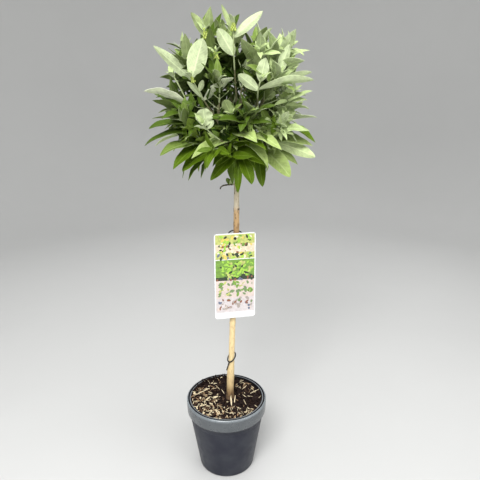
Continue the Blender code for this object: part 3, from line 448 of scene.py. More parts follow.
# Blades: stretches along and across, where the blade is widest, and how full it is below that
BLADES = {
    "broad": (16, 6, 0.5, 0.74),
    "long": (9, 2, 0.44, 0.84),
    "small": (5, 2, 0.45, 0.85),
}
BLADE_EASE = 0.06
BLADE_THICKNESS = 0.0004
BLADE_TWIST = 0.45
BLADE_WAVE = (0.02, 0.09)
BLADE_WAVES = (11.0, 18.0)
BLADE_CURL = (-0.03, 0.05)
FOLD_RANGE = (0.5, 1.5)
VEIN_PAIRS = 13.0
VEIN_SLANT = -0.42

# Shoots that end in a spike of flower buds: mass, number of the shoot in it, size of the spike
BUD_SEED = 71
BUD_SET = 0.01
BUD_SIZE = 0.0036
BUD_WHORLS = 6
BUDS_IN_WHORL = 5
WHORL_STEP = 0.0025
SPIKE_LENGTH = 0.015
END_BUD_SIZE = 0.0022
BUDDED = (
    ("high_front_left", 0, 0.9),
    ("high_front_left", 3, 1.2),
    ("top", 0, 1.2),
    ("top", 1, 1.0),
    ("top", 5, 1.3),
    ("high_front_right", 1, 0.9),
)

# Dead side twig low on the left of the stem, with two young leaves near its foot
TWIG_HEIGHT = 0.527
TWIG_LENGTH = 0.028
TWIG_RADIUS = 0.0014
TWIG_AZIMUTH = 183.0
TWIG_DROP = 0.005
TWIG_TAPER = 0.35
# How much the flaking bark thickens the twig, and how far its broken end hooks down
TWIG_BARK = 1.4
TWIG_HOOK = 0.0045
TWIG_BENDS_FROM = 0.8
TWIG_RINGS = 13
TWIG_WANDER = 0.0012
TWIG_LUMPS = 0.15
TWIG_LEAF_SEED = 5
TWIG_LEAF_LENGTH = 0.016
TWIG_LEAF_FRONT = (0.3, -0.9, 0.3)
TWIG_LEAF_ASIDE = (0.35, -0.4, 0.6)

# Label card and the strap that holds it to the stem
CARD_WIDTH = 0.092
CARD_HEIGHT = 0.2
CARD_THICKNESS = 0.001
CARD_CORNER = 0.006
CARD_TOP_HEIGHT = 0.59
CARD_TURN = 12.0
CARD_HOLE_DROP = 0.0115
CARD_HOLE_RADIUS = 0.0022
CARD_BORDER = 0.0024
CARD_BANDS = (
    (0.0024, "meadow"),
    (0.024, "petal"),
    (0.043, "meadow"),
    (0.0582, "white"),
    (0.06, "hedge"),
    (0.1, "depth"),
    (0.108, "blush"),
    (0.15, "pale"),
    (0.185, "white"),
)
# Printed shapes: kind, top and bottom of where they lie, number, size, tones
CARD_SHAPES = (
    ("leaf", 0.005, 0.056, 70, 0.012, ("hedge", "bright", "bright", "sun", "depth", "cream")),
    ("disc", 0.024, 0.044, 40, 0.0055, ("cream", "petal", "rust", "cream")),
    ("leaf", 0.047, 0.056, 16, 0.011, ("depth", "depth", "slate", "sun")),
    ("leaf", 0.064, 0.102, 90, 0.012, ("bright", "bright", "meadow", "hedge", "depth")),
    ("disc", 0.1, 0.108, 14, 0.006, ("slate", "depth", "rust")),
    ("leaf", 0.112, 0.146, 60, 0.012, ("moss", "hedge", "meadow", "blush", "moss")),
    ("disc", 0.15, 0.18, 32, 0.0085, ("slate", "stone", "pale", "blush", "stone")),
    ("leaf", 0.15, 0.18, 22, 0.01, ("moss", "rust", "stone")),
)
PRINT_SEED = 19
PRINT_AMOUNTS = {"white": 0.06, "meadow": 0.9, "hedge": 0.9}
LEAF_SHAPE_SLIM = 0.26
PRINT_PROUD = 0.00006
PRINT_STEP = 0.0000015
LOOP_STEPS = 72
LOOP_RADIUS = 0.015
LOOP_THICKNESS = 0.0014
LOOP_SLOPE = 17.0
LOOP_STUD_SIDE = -0.0045
LOOP_STUD_RADIUS = 0.0016
LOOP_HEAD_RADIUS = 0.0031
LOOP_HEAD_THICKNESS = 0.0012
# The stud's head: how far out of its thickness, and the radius there
LOOP_HEAD_PROFILE = ((0.0, 0.9), (0.15, 1.0), (0.45, 1.0), (0.75, 0.9), (0.95, 0.62), (1.0, 0.3))

# Tie round the stem, with one hanging end
TIE_HEIGHT = 0.2795
TIE_THICKNESS = 0.0015
TIE_CLEAR = 0.0009
TIE_FRONT_DROP = 0.0065
TIE_RIGHT_RISE = 0.006
TIE_STEPS = 48
TIE_TAIL_DROP = 0.024
TIE_TAIL_FROM = 238.0
TIE_TAIL_TO = 205.0
TIE_TAIL_RINGS = 16

# Floor, which sweeps up into a backdrop all round
FLOOR_RADIUS = 2.2
SWEEP_ROUND = 1.4
SWEEP_HEIGHT = 3.4

# Camera, at the photograph's angle
CAMERA_PLACE = (0.0326, -0.994, 0.883)
CAMERA_PITCH = 17.3
CAMERA_LENS = 36.0
SENSOR_WIDTH = 36.0

# Lights: place, target, size and the setting that holds the power
HEAD_TARGET = (0.02, 0.0, 0.72)
LIGHTS = {
    "key": ((-0.45, -1.75, 2.2), HEAD_TARGET, 1.0, "key"),
    "fill": ((1.8, -1.2, 1.4), HEAD_TARGET, 1.6, "fill"),
    "back": ((0.4, 1.8, 2.2), HEAD_TARGET, 1.6, "fill"),
    "rim": ((0.0, -0.55, 2.3), (0.0, 0.0, POT_HEIGHT), 1.5, "rim"),
}
AMBIENT_TINT = (0.95, 0.98, 1.0, 1.0)

# Roughness of the bark, and how far a mottled surface strays from its own roughness
BARK_ROUGHNESS = 0.78
ROUGHNESS_SPREAD = 0.08
# Grain of each surface: fine and coarse scale, share of the coarse, strength, depth
GRAINS = {
    "moulding": (1300.0, 90.0, 0.3, 0.12, 0.0003),
    "soil": (700.0, 160.0, 0.5, 0.9, 0.0012),
    "crumb": (900.0, 200.0, 0.5, 0.8, 0.0008),
    "chip": (1500.0, 300.0, 0.4, 0.3, 0.0003),
    "shoot": (900.0, 120.0, 0.4, 0.25, 0.0003),
    "twig": (1200.0, 260.0, 0.5, 0.6, 0.0004),
    "bud": (1200.0, 300.0, 0.4, 0.3, 0.0004),
    "print": (900.0, 60.0, 0.5, 0.04, 0.0002),
    "strap": (1400.0, 200.0, 0.3, 0.1, 0.0002),
    "floor": (60.0, 6.0, 0.5, 0.02, 0.001),
}


def colour(name, description, default):
    return FloatVectorProperty(
        name=name, description=description, default=default, subtype="COLOR", min=0.0, max=1.0
    )


def distance(name, description, default):
    return FloatProperty(name=name, description=description, default=default, min=0.0, unit="LENGTH")


def share(name, description, default):
    return FloatProperty(
        name=name, description=description, default=default, subtype="FACTOR", min=0.0, max=1.0
    )


def power(name, description, default):
    return FloatProperty(name=name, description=description, default=default, min=0.0, unit="POWER")


def count(name, description, default):
    return IntProperty(name=name, description=description, default=default, min=3)


class PotSettings(bpy.types.PropertyGroup):
    """Moulded pot."""

    steps: count("Steps", "Flat steps round the pot", 128)
    plastic: colour("Plastic", "Slate grey of the body", (0.02, 0.022, 0.035))
    # Band: painted light, the body's plastic made paler where it faces the light from above
    band: colour("Band", "Paler satin grey of the rim band", (0.062, 0.073, 0.083))
    # Edge: a painted highlight on the rim's rounded upper edge
    edge: colour("Edge", "Worn upper edge of the rim", (0.24, 0.27, 0.29))
    # Groove: painted shade, near black in the groove and on the inner wall above the soil
    groove: colour("Groove", "Grime in the groove and on the wall above the soil", (0.006, 0.006, 0.006))
    # Scuffs and dust on the body and band, and the painted highlight that colours the whole inner ring
    wear_and_highlight: colour("Worn", "Paler grey of scuffs and dust", (0.12, 0.13, 0.14))
    roughness: share("Roughness", "Roughness of the moulding", 0.3)


class SoilSettings(bpy.types.PropertyGroup):
    """Potting mix and what lies on it."""

    relief: distance("Relief", "Height of the crumbs in the soil's surface", 0.0026)
    crumbs: count("Crumbs", "Loose crumbs of peat", 1300)
    heaped: count("Heaped", "Crumbs heaped against the rim at the back left", 260)
    chips: count("Chips", "Loose chips of straw and bark", 430)
    peat: colour("Peat", "Near black of the damp mix", (0.0045, 0.0022, 0.0028))
    dry_peat: colour("Dry peat", "Brown of dry crumbs", (0.04, 0.022, 0.015))
    old_bark: colour("Old bark", "Brown of the chips of bark", (0.085, 0.05, 0.032))
    straw: colour("Straw", "Cream of the fresh chips", (0.76, 0.66, 0.44))
    old_straw: colour("Old straw", "Tan of the weathered chips", (0.4, 0.25, 0.13))


class StemSettings(bpy.types.PropertyGroup):
    """Bark of the stem, boughs and shoots."""

    relief: distance("Relief", "Depth of the bark's ridges", 0.0003)
    sides: count("Sides", "Flat sides round the stem", 26)
    fibre: colour("Fibre", "Darker fibres in the bark", (0.3, 0.19, 0.09))
    scar: colour("Scar", "Dark scars and flakes", (0.045, 0.03, 0.022))
    young: colour("Young shoot", "Felted green of young shoots", (0.42, 0.5, 0.24))
    wood: colour("Shoot wood", "Brown green of older shoots", (0.2, 0.19, 0.09))


class LeafSettings(bpy.types.PropertyGroup):
    """Leaves, dealt out by age along each shoot. Each tone adds the colours of its two sides."""

    bud: colour("Bud", "Yellow green of flower buds", (0.5, 0.6, 0.13))
    top_roughness: share("Upper roughness", "Roughness of the upper side", 0.5)
    under_roughness: share("Under roughness", "Roughness of the felted underside", 0.85)


for tone, (what, top, under) in LEAF_TONES.items():
    LeafSettings.__annotations__[tone + "_top"] = colour(tone.capitalize() + ", upper side", what, top)
    LeafSettings.__annotations__[tone + "_under"] = colour(tone.capitalize() + ", underside", what, under)


class LabelSettings(bpy.types.PropertyGroup):
    """Printed card and its black strap."""

    white: colour("White", "Unprinted card", (0.84, 0.86, 0.85))
    meadow: colour("Meadow", "Yellow green ground", (0.6, 0.64, 0.2))
    petal: colour("Petal", "Pale pinkish cream", (0.8, 0.68, 0.5))
    hedge: colour("Hedge", "Mid green", (0.22, 0.4, 0.07))
    depth: colour("Depth", "Near black green", (0.04, 0.06, 0.032))
    blush: colour("Blush", "Pale pinkish ground", (0.76, 0.64, 0.58))
    pale: colour("Pale", "Pale lilac grey ground", (0.72, 0.66, 0.66))
    cream: colour("Cream", "Cream shapes", (0.86, 0.8, 0.6))
    sun: colour("Sun", "Warm yellow shapes", (0.8, 0.62, 0.14))
    bright: colour("Bright", "Bright green shapes", (0.38, 0.66, 0.08))
    moss: colour("Moss", "Grey green shapes", (0.2, 0.3, 0.13))
    rust: colour("Rust", "Brown red shapes", (0.3, 0.12, 0.07))
    stone: colour("Stone", "Grey brown shapes", (0.46, 0.4, 0.36))
    slate: colour("Slate", "Blue grey shapes", (0.16, 0.19, 0.27))
    black: colour("Black", "Strap and tie", (0.01, 0.01, 0.011))


class StageSettings(bpy.types.PropertyGroup):
    """Floor, lights and camera."""

    floor: colour("Floor", "Pale floor", (0.62, 0.62, 0.61))
    sky: colour("Backdrop", "Plain colour behind the floor", (0.62, 0.64, 0.66))
    key: power("Key", "Power of the main light", 57.0)
    fill: power("Fill", "Power of the fill light and of the back light", 14.0)
    rim: power("Rim", "Power of the light on the rim", 29.0)
    ambient: share("Ambient", "Strength of the light from all round", 0.3)


SETTINGS = {
    "bush_pot": PotSettings,
    "bush_soil": SoilSettings,
    "bush_stem": StemSettings,
    "bush_leaf": LeafSettings,
    "bush_label": LabelSettings,
    "bush_stage": StageSettings,
}


# Places and directions


def direction(azimuth, rise):
    """Unit vector from an azimuth and a rise in degrees."""
    turn = math.radians(azimuth)
    lift = math.radians(rise)
    level = math.cos(lift)
    return Vector((math.cos(turn) * level, math.sin(turn) * level, math.sin(lift)))


def across(axis, hint=UP):
    """Unit vector square to the axis, as near to the hint as can be."""
    side = hint - axis * hint.dot(axis)
    if side.length < 1e-4:
        side = Vector((0.0, 1.0, 0.0)) - axis * axis.y
    return side.normalized()


def square_to(axis, hint=UP):
    """Two unit vectors square to the axis and to each other."""
    side = across(axis, hint)
    return side, axis.cross(side)


def between(low, high, part):
    """What lies at a share of the way from low to high."""
    return low + (high - low) * part


def turned(first, second, angle):
    """One direction turned towards another that is square to it, angle in radians."""
    return first * math.cos(angle) + second * math.sin(angle)


def bezier(start, leave, arrive, end, at):
    """Point of a cubic curve that leaves and arrives along two given vectors."""
    rest = 1.0 - at
    first, second = start + leave, end - arrive
    near = start * rest ** 3 + first * 3.0 * rest * rest * at
    return near + second * 3.0 * rest * at * at + end * at ** 3


def arc(centre, radius, start, end, number):
    """Points of an arc in a profile, angles in degrees."""
    turns = [math.radians(start + (end - start) * i / (number - 1)) for i in range(number)]
    return [(centre[0] + radius * math.cos(a), centre[1] + radius * math.sin(a)) for a in turns]


def bump_at(value, middle, width):
    """A smooth swelling that is one at its middle."""
    return math.exp(-((value - middle) / width) ** 2)


def stem_at(height):
    """Centre and radius of the stem at a height above the soil, read between its stations."""
    rows = STEM_COURSE
    index = max(i for i, row in enumerate(rows[:-1]) if height >= row[0] or i == 0)
    low, high = rows[index], rows[index + 1]
    part = min(max((height - low[0]) / (high[0] - low[0]), 0.0), 1.0)
    x, radius = (between(low[i], high[i], part) for i in (1, 2))
    y = between(STEM_BACK_FOOT, STEM_BACK_HEAD, height / rows[-1][0])
    return Vector((x, y, SOIL_LEVEL + GAP + height)), radius


def collar_end(height, azimuth, rise):
    """Where a bough leaves the stem, just past the end of its collar."""
    centre, radius = stem_at(height)
    heading = direction(azimuth, rise)
    reach = radius / max(math.cos(math.radians(rise)), 0.5) + COLLAR_PROUD
    return centre, centre + heading * reach, heading


def bough_course(name, stations=5):
    """Points along a bough, from 0.3 mm past its collar to where it enters its mass."""
    height, azimuth, rise, length = BOUGHS[name]
    _, foot, heading = collar_end(height, azimuth, rise)
    start = foot + heading * GAP
    arrival = (heading + UP * BOUGH_LIFT).normalized()
    end = start + heading.lerp(arrival, BOUGH_BEND) * length
    third = length / 3.0
    last = stations - 1
    return [bezier(start, heading * third, arrival * third, end, i / last) for i in range(stations)]


# Meshes


def finished(bm, name, sharp=40.0):
    """The bmesh as a smooth mesh with outward faces and sharp edges past an angle."""
    bmesh.ops.recalc_face_normals(bm, faces=bm.faces)
    mesh = bpy.data.meshes.new(name)
    bm.to_mesh(mesh)
    bm.free()
    mesh.shade_smooth()
    mesh.set_sharp_from_angle(angle=math.radians(sharp))
    return mesh


def new_piece(name, mesh, materials, nodes=()):
    """A piece at the origin that rides on the plant's one body, in place of those nodes."""
    for material in materials:
        mesh.materials.append(material)
    item = bpy.data.objects.new(name, mesh)
    bpy.context.scene.collection.objects.link(item)
    if nodes:
        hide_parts(*nodes)
    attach(item, BODY)
    return item


def scratch_object(bm, name):
    """A loose object for one Boolean."""
    item = bpy.data.objects.new(name, finished(bm, name))
    bpy.context.scene.collection.objects.link(item)
    return item


def combined(item, other, operation):
    """Applies a Boolean between two objects and removes the second."""
    step = item.modifiers.new("combined", "BOOLEAN")
    step.operation = operation
    step.object = other
    step.solver = "EXACT"
    bpy.context.view_layer.update()
    graph = bpy.context.evaluated_depsgraph_get()
    item.data = bpy.data.meshes.new_from_object(item.evaluated_get(graph), depsgraph=graph)
    item.modifiers.clear()
    bpy.data.objects.remove(other, do_unlink=True)


def freed_mesh(item, sharp):
    """The mesh of a loose object, which is removed, with sharp edges past an angle."""
    mesh = item.data
    bpy.data.objects.remove(item, do_unlink=True)
    mesh.shade_smooth()
    mesh.set_sharp_from_angle(angle=math.radians(sharp))
    return mesh


def arrays_of(bm):
    """Places and faces of a bmesh, which is freed."""
    bm.verts.index_update()
    places = np.array([tuple(vert.co) for vert in bm.verts])
    faces = [tuple(vert.index for vert in face.verts) for face in bm.faces]
    bm.free()
    return places, faces


def spun(profile, steps):
    """Solid of revolution from a profile that starts and ends on the axis."""
    bm = bmesh.new()
    verts = [bm.verts.new((radius, 0.0, height)) for radius, height in profile]
    edges = [bm.edges.new(pair) for pair in zip(verts, verts[1:])]
    bmesh.ops.spin(bm, geom=verts + edges, cent=(0, 0, 0), axis=UP, angle=math.tau,
                   steps=steps, use_merge=True)
    bmesh.ops.remove_doubles(bm, verts=bm.verts, dist=1e-6)
    bmesh.ops.recalc_face_normals(bm, faces=bm.faces)
    return bm


def ring_places(centre, axis, radius, sides, hint=UP):
    """Places of a round ring square to the axis."""
    side, other = square_to(axis, hint)
    return [centre + turned(side, other, math.tau * i / sides) * radius for i in range(sides)]


def drawn(rings, pointed=False, closed=False):
    """A limb drawn out from its first ring, ring by ring, and closed at its ends or on itself."""
    bm = bmesh.new()
    made = bmesh.ops.create_circle(bm, cap_ends=not closed, segments=len(rings[0]), radius=1.0)
    ring = made["verts"]
    edges = first_edges = bm.edges[:]
    for vert, place in zip(ring, rings[0]):
        vert.co = place
    for places in rings[1:]:
        geom = bmesh.ops.extrude_edge_only(bm, edges=edges)["geom"]
        fresh = {part for part in geom if isinstance(part, bmesh.types.BMVert)}
        edges = [part for part in geom
                 if isinstance(part, bmesh.types.BMEdge) and fresh.issuperset(part.verts)]
        ring = [next(v for v in (edge.other_vert(old) for edge in old.link_edges) if v in fresh)
                for old in ring]
        for vert, place in zip(ring, places):
            vert.co = place
    if closed:
        bmesh.ops.bridge_loops(bm, edges=edges + first_edges)
    elif pointed:
        middle = sum((vert.co for vert in ring), Vector()) / len(ring)
        bmesh.ops.pointmerge(bm, verts=ring, merge_co=middle)
    else:
        bmesh.ops.contextual_create(bm, geom=edges)
    bmesh.ops.recalc_face_normals(bm, faces=bm.faces)
    return bm


def limb(points, radii, sides, pointed=False):
    """A tapering limb along points."""
    rings = []
    last = len(points) - 1
    for i, (point, radius) in enumerate(zip(points, radii)):
        axis = (points[min(i + 1, last)] - points[max(i - 1, 0)]).normalized()
        rings.append(ring_places(point, axis, radius, sides))
    if pointed:
        rings[-1] = [points[-1]] * sides
    return drawn(rings, pointed)


class Heap:
    """Many small shapes laid into one mesh, each with its material and its place on the blade."""

    def __init__(self):
        self.places = []
        self.faces = []
        self.materials = []
        self.blades = []
        self.total = 0

    def lay(self, places, faces, materials, blade=None):
        """Adds one shape, with one material or a list. blade gives each place's (along, across)."""
        self.places.append(np.asarray(places, dtype=np.float64))
        self.faces.extend([tuple(i + self.total for i in face) for face in faces])
        self.materials.extend(materials if isinstance(materials, list) else [materials] * len(faces))
        if blade is not None:
            self.blades.extend([blade[i] for face in faces for i in face])
        self.total += len(places)

    def lay_bmesh(self, bm, material):
        self.lay(*arrays_of(bm), material)

    def mesh(self, name, sharp=50.0):
        mesh = bpy.data.meshes.new(name)
        mesh.from_pydata(np.concatenate(self.places), [], self.faces)
        mesh.polygons.foreach_set("material_index", self.materials)
        if self.blades:
            layer = mesh.uv_layers.new(name="blade")
            layer.uv.foreach_set("vector", np.asarray(self.blades, dtype=np.float32).ravel())
        mesh.shade_smooth()
        mesh.set_sharp_from_angle(angle=math.radians(sharp))
        return mesh


# Materials


def rgba(value):
    return (*value, 1.0)


def darker(value, part):
    """A colour with each of its parts lowered to a share."""
    return tuple(part * each for each in value)


def fed(tree, node, inputs):
    """Sets the values of a node's sockets, or links them."""
    for key, value in inputs.items():
        if isinstance(value, bpy.types.NodeSocket):
            tree.links.new(value, node.inputs[key])
        else:
            node.inputs[key].default_value = value
    return node


def wire(tree, kind, inputs=None, **props):
    """Adds one shader node, with its values set and its sockets linked."""
    node = tree.nodes.new("ShaderNode" + kind)
    for key, value in props.items():
        setattr(node, key, value)
    return fed(tree, node, inputs or {})


def calc(tree, operation, *values):
    """The result of one operation on sockets or numbers."""
    return wire(tree, "Math", dict(enumerate(values)), operation=operation).outputs[0]


def mapped(tree, value, low, high, start=0.0, end=1.0):
    """A value carried from one range to another, and held at its ends."""
    return wire(tree, "MapRange", {0: value, 1: low, 2: high, 3: start, 4: end}).outputs[0]


def noise_of(tree, place, scale, detail):
    return wire(tree, "TexNoise", {"Vector": place, "Scale": scale, "Detail": detail}).outputs[0]


def parts_of(tree, place):
    return wire(tree, "SeparateXYZ", {0: place}).outputs


def mixed(tree, factor, first, second):
    """One colour turned into another by a factor."""
    return wire(tree, "Mix", {0: factor, 6: first, 7: second}, data_type="RGBA").outputs[2]


def ramp(tree, factor, stops):
    """A colour ramp with (position, colour) stops."""
    node = wire(tree, "ValToRGB", {"Fac": factor})
    elements = node.color_ramp.elements
    elements[0].position, elements[0].color = stops[0][0], rgba(stops[0][1])
    elements[1].position, elements[1].color = stops[-1][0], rgba(stops[-1][1])
    for position, value in stops[1:-1]:
        elements.new(position).color = rgba(value)
    return node.outputs["Color"]


def new_group(name, inputs, outputs):
    """A shader node group with named sockets, its inputs, and the node that takes its results."""
    tree = bpy.data.node_groups.new(name, "ShaderNodeTree")
    for way, sockets in (("INPUT", inputs), ("OUTPUT", outputs)):
        for label, kind in sockets.items():
            tree.interface.new_socket(label, in_out=way, socket_type="NodeSocket" + kind)
    return tree, tree.nodes.new("NodeGroupInput").outputs, tree.nodes.new("NodeGroupOutput")


def placed_group(tree, name, inputs):
    """Places a node group, which is made on first use, and gives its outputs."""
    node = tree.nodes.new("ShaderNodeGroup")
    node.node_tree = bpy.data.node_groups.get(name) or GROUPS[name]()
    return fed(tree, node, inputs).outputs


def mottle_group():
    """Two colours worked into each other by coarse and fine noise."""
    inputs = {"Vector": "Vector", "Scale": "Float", "Light": "Color", "Dark": "Color", "Amount": "Float"}
    tree, given, result = new_group("mottle", inputs, {"Color": "Color"})
    coarse = noise_of(tree, given["Vector"], given["Scale"], 5.0)
    amount = calc(tree, "MULTIPLY", mapped(tree, coarse, 0.34, 0.66), given["Amount"])
    fed(tree, result, {"Color": mixed(tree, amount, given["Light"], given["Dark"])})
    return tree


def grain_group():
    """Height of a fine grain over a coarser unevenness."""
    inputs = {"Vector": "Vector", "Fine": "Float", "Coarse": "Float", "Share": "Float"}
    tree, given, result = new_group("grain", inputs, {"Height": "Float", "Roughness": "Float"})
    fine = noise_of(tree, given["Vector"], given["Fine"], 3.0)
    coarse = noise_of(tree, given["Vector"], given["Coarse"], 4.0)
    both = wire(tree, "Mix", {0: given["Share"], 2: fine, 3: coarse}, data_type="FLOAT")
    fed(tree, result, {"Height": both.outputs[0], "Roughness": coarse})
    return tree


def veins_group():
    """A leaf's midrib and side veins by its place on the blade: their height, and where it is pale."""
    inputs = {"Blade": "Vector", "Pairs": "Float"}
    tree, given, result = new_group("veins", inputs, {"Height": "Float", "Pale": "Float"})
    along, wide, _ = parts_of(tree, given["Blade"])
    away = calc(tree, "ABSOLUTE", calc(tree, "SUBTRACT", wide, 0.5))
    slant = calc(tree, "MULTIPLY_ADD", away, VEIN_SLANT, along)
    turns = calc(tree, "MULTIPLY", slant, given["Pairs"])
    wave = calc(tree, "COSINE", calc(tree, "MULTIPLY", turns, math.tau))
    side = mapped(tree, wave, -1.0, 1.0, 0.0, 0.55)
    rib = mapped(tree, away, 0.0, 0.06, 1.0, 0.0)
    fine = mapped(tree, wave, 0.7, 1.0, 0.0, 0.3)
    margin = mapped(tree, away, 0.42, 0.5, 0.0, 0.45)
    pale = calc(tree, "MAXIMUM", calc(tree, "MAXIMUM", fine, margin), rib)
    fed(tree, result, {"Height": calc(tree, "ADD", side, rib), "Pale": pale})
    return tree


GROUPS = {"mottle": mottle_group, "grain": grain_group, "veins": veins_group}


def new_material(name):
    """A material, its tree, its Principled shader and the object coordinates."""
    material = bpy.data.materials.new(name)
    material.use_nodes = True
    tree = material.node_tree
    shader = tree.nodes["Principled BSDF"]
    coords = wire(tree, "TexCoord").outputs["Object"]
    return material, tree, shader, coords


def bumped(tree, height, strength, depth):
    """A normal that leans with a height."""
    return wire(tree, "Bump", {"Height": height, "Strength": strength, "Distance": depth}).outputs["Normal"]


def mottled_material(name, light, dark, scale, amount, roughness, grain, sheen=0.0, specular=0.5):
    """Two worked-in colours, with uneven roughness and a grain by its name."""
    if name in bpy.data.materials:
        return bpy.data.materials[name]
    material, tree, shader, coords = new_material(name)
    inputs = {"Vector": coords, "Scale": scale, "Light": rgba(light), "Dark": rgba(dark), "Amount": amount}
    skin = placed_group(tree, "mottle", inputs)["Color"]
    fine, coarse, part, strength, depth = GRAINS[grain]
    made = placed_group(tree, "grain", {"Vector": coords, "Fine": fine, "Coarse": coarse, "Share": part})
    low = max(roughness - ROUGHNESS_SPREAD, 0.0)
    high = min(roughness + ROUGHNESS_SPREAD, 1.0)
    fed(tree, shader, {
        "Base Color": skin,
        "Roughness": mapped(tree, made["Roughness"], 0.3, 0.7, low, high),
        "Normal": bumped(tree, made["Height"], strength, depth),
        "Sheen Weight": sheen,
        "Specular IOR Level": specular,
    })
    return material


def node_darkening(tree, coords, height):
    """Where the bark is darker at the node below the head: a short way round its right side."""
    centre, radius = stem_at(DARK_NODE_HEIGHT)
    right = parts_of(tree, coords)[0]
    side = mapped(tree, right, *(centre.x + radius * part for part in DARK_NODE_SIDE))
    fades = [[centre.z + step for step in fade] for fade in DARK_NODE_FADES]
    below = mapped(tree, height, *fades[0])
    above = mapped(tree, height, *fades[1], 1.0, 0.0)
    return calc(tree, "MULTIPLY", calc(tree, "MULTIPLY", below, above), side)


def bark_material(settings):
    """Stem bark: browned foot, straw-pale middle, dark node, silvery and flaking under the head."""
    material, tree, shader, coords = new_material("stem_bark")
    height = parts_of(tree, coords)[2]
    along = mapped(tree, height, SOIL_LEVEL, SOIL_LEVEL + STEM_COURSE[-1][0])
    zones = ramp(tree, along, BARK_ZONES)
    long_way = wire(tree, "Mapping", {"Vector": coords, "Scale": (1.0, 1.0, 0.07)}).outputs[0]
    fibre = noise_of(tree, long_way, 1100.0, 4.0)
    fibred = mixed(tree, mapped(tree, fibre, 0.45, 0.75, 0.0, 0.55), zones, rgba(settings.fibre))
    patch_way = wire(tree, "Mapping", {"Vector": coords, "Scale": (1.0, 1.0, 0.45)}).outputs[0]
    patch = mapped(tree, noise_of(tree, patch_way, 190.0, 3.0), 0.56, 0.66)
    scars = ramp(tree, along, [(at, (grey,) * 3) for at, grey in BARK_SCARS])
    scarred = mixed(tree, calc(tree, "MULTIPLY", patch, scars), fibred, rgba(settings.scar))
    fed(tree, shader, {
        "Base Color": mixed(tree, node_darkening(tree, coords, height), scarred, rgba(settings.scar)),
        "Normal": bumped(tree, calc(tree, "SUBTRACT", fibre, patch), 0.5, 0.0004),
        "Roughness": BARK_ROUGHNESS,
    })
    return material


def leaf_material(name, value, rib, roughness, specular, vein_strength):
    """One side of a leaf: a plain colour, faintly mottled, with paler veins raised or sunk."""
    if name in bpy.data.materials:
        return bpy.data.materials[name]
    material, tree, shader, coords = new_material(name)
    dark = darker(value, 0.62)
    inputs = {"Vector": coords, "Scale": 130.0, "Light": rgba(value), "Dark": rgba(dark), "Amount": 0.7}
    skin = placed_group(tree, "mottle", inputs)["Color"]
    blade = wire(tree, "UVMap", uv_map="blade").outputs[0]
    veins = placed_group(tree, "veins", {"Blade": blade, "Pairs": VEIN_PAIRS})
    fed(tree, shader, {
        "Base Color": mixed(tree, veins["Pale"], skin, rgba(rib)),
        "Normal": bumped(tree, veins["Height"], vein_strength, 0.0006),
        "Roughness": roughness,
        "Specular IOR Level": specular,
    })
    return material


def leaf_materials(settings):
    """Upper side and underside of each tone, in turn."""
    made = []
    for tone in TONES:
        top = getattr(settings, tone + "_top")
        under = getattr(settings, tone + "_under")
        rib = tuple(0.55 * a + 0.45 * b for a, b in zip(top, under))
        edge = tuple(min(part * 1.25, 0.9) for part in under)
        name = "leaf_" + tone
        made.append(leaf_material(name + "_top", top, rib, settings.top_roughness, 0.15, 0.35))
        made.append(leaf_material(name + "_under", under, edge, settings.under_roughness, 0.08, 0.45))
    return made


def shoot_materials(settings):
    """Woody and young shoots."""
    wood, young = settings.wood, settings.young
    return [
        mottled_material("shoot_wood", wood, darker(wood, 0.6), 120.0, 0.7, 0.75, "shoot"),
        mottled_material("shoot_young", young, darker(young, 0.75), 90.0, 0.6, 0.85, "shoot", sheen=0.15),
    ]


def black_material(settings):
    return mottled_material(
        "strap_black", settings.black, darker(settings.black, 0.6), 200.0, 0.6, 0.42, "strap"
    )


# Pot


def pot_inner_radius(height):
    """Radius of the pot's inner wall at a height."""
    return between(BASE_RADIUS, BODY_TOP_RADIUS, min(height / BODY_TOP, 1.0)) - POT_WALL


def rim_radii():
    """Outer and inner radius of the groove in the rim, and inner radius of the ring within it."""
    groove_outer = RIM_RADIUS - RIM_SHOULDER - LIP_WIDTH
    return groove_outer, groove_outer - GROOVE_WIDTH, groove_outer - GROOVE_WIDTH - RING_WIDTH


def pot_profile():
    """Outline of the pot's wall, from the middle of its underside over the rim to its floor."""
    groove_outer, groove_inner, ring_inner = rim_radii()
    groove_floor = POT_HEIGHT - GROOVE_DEPTH
    ring_top = POT_HEIGHT - INNER_RING_DROP
    foot_inner = BASE_RADIUS - BASE_ROUND - FOOT_RING
    profile = [(0.0, FOOT_RECESS), (foot_inner - FOOT_RECESS, FOOT_RECESS), (foot_inner, 0.0)]
    profile += arc((BASE_RADIUS - BASE_ROUND, BASE_ROUND), BASE_ROUND, -90, -6, 8)
    for height in reversed(LINE_HEIGHTS):
        radius = pot_inner_radius(height) + POT_WALL
        profile += [(radius, height - LINE_HALF), (radius - LINE_DEPTH, height), (radius, height + LINE_HALF)]
    profile += [(BODY_TOP_RADIUS, BODY_TOP), (BAND_FOOT_RADIUS, BODY_TOP + BAND_STEP)]
    profile += arc((RIM_RADIUS - RIM_SHOULDER, POT_HEIGHT - RIM_SHOULDER), RIM_SHOULDER, 0, 90, 9)
    profile += [(groove_outer, POT_HEIGHT), (groove_outer, groove_floor), (groove_inner, groove_floor)]
    profile += [(groove_inner, ring_top), (ring_inner, ring_top), (ring_inner, groove_floor - RING_FOOT)]
    profile += [(pot_inner_radius(height), height) for height in (BODY_TOP, POT_FLOOR)]
    profile += [(0.0, POT_FLOOR)]
    return profile


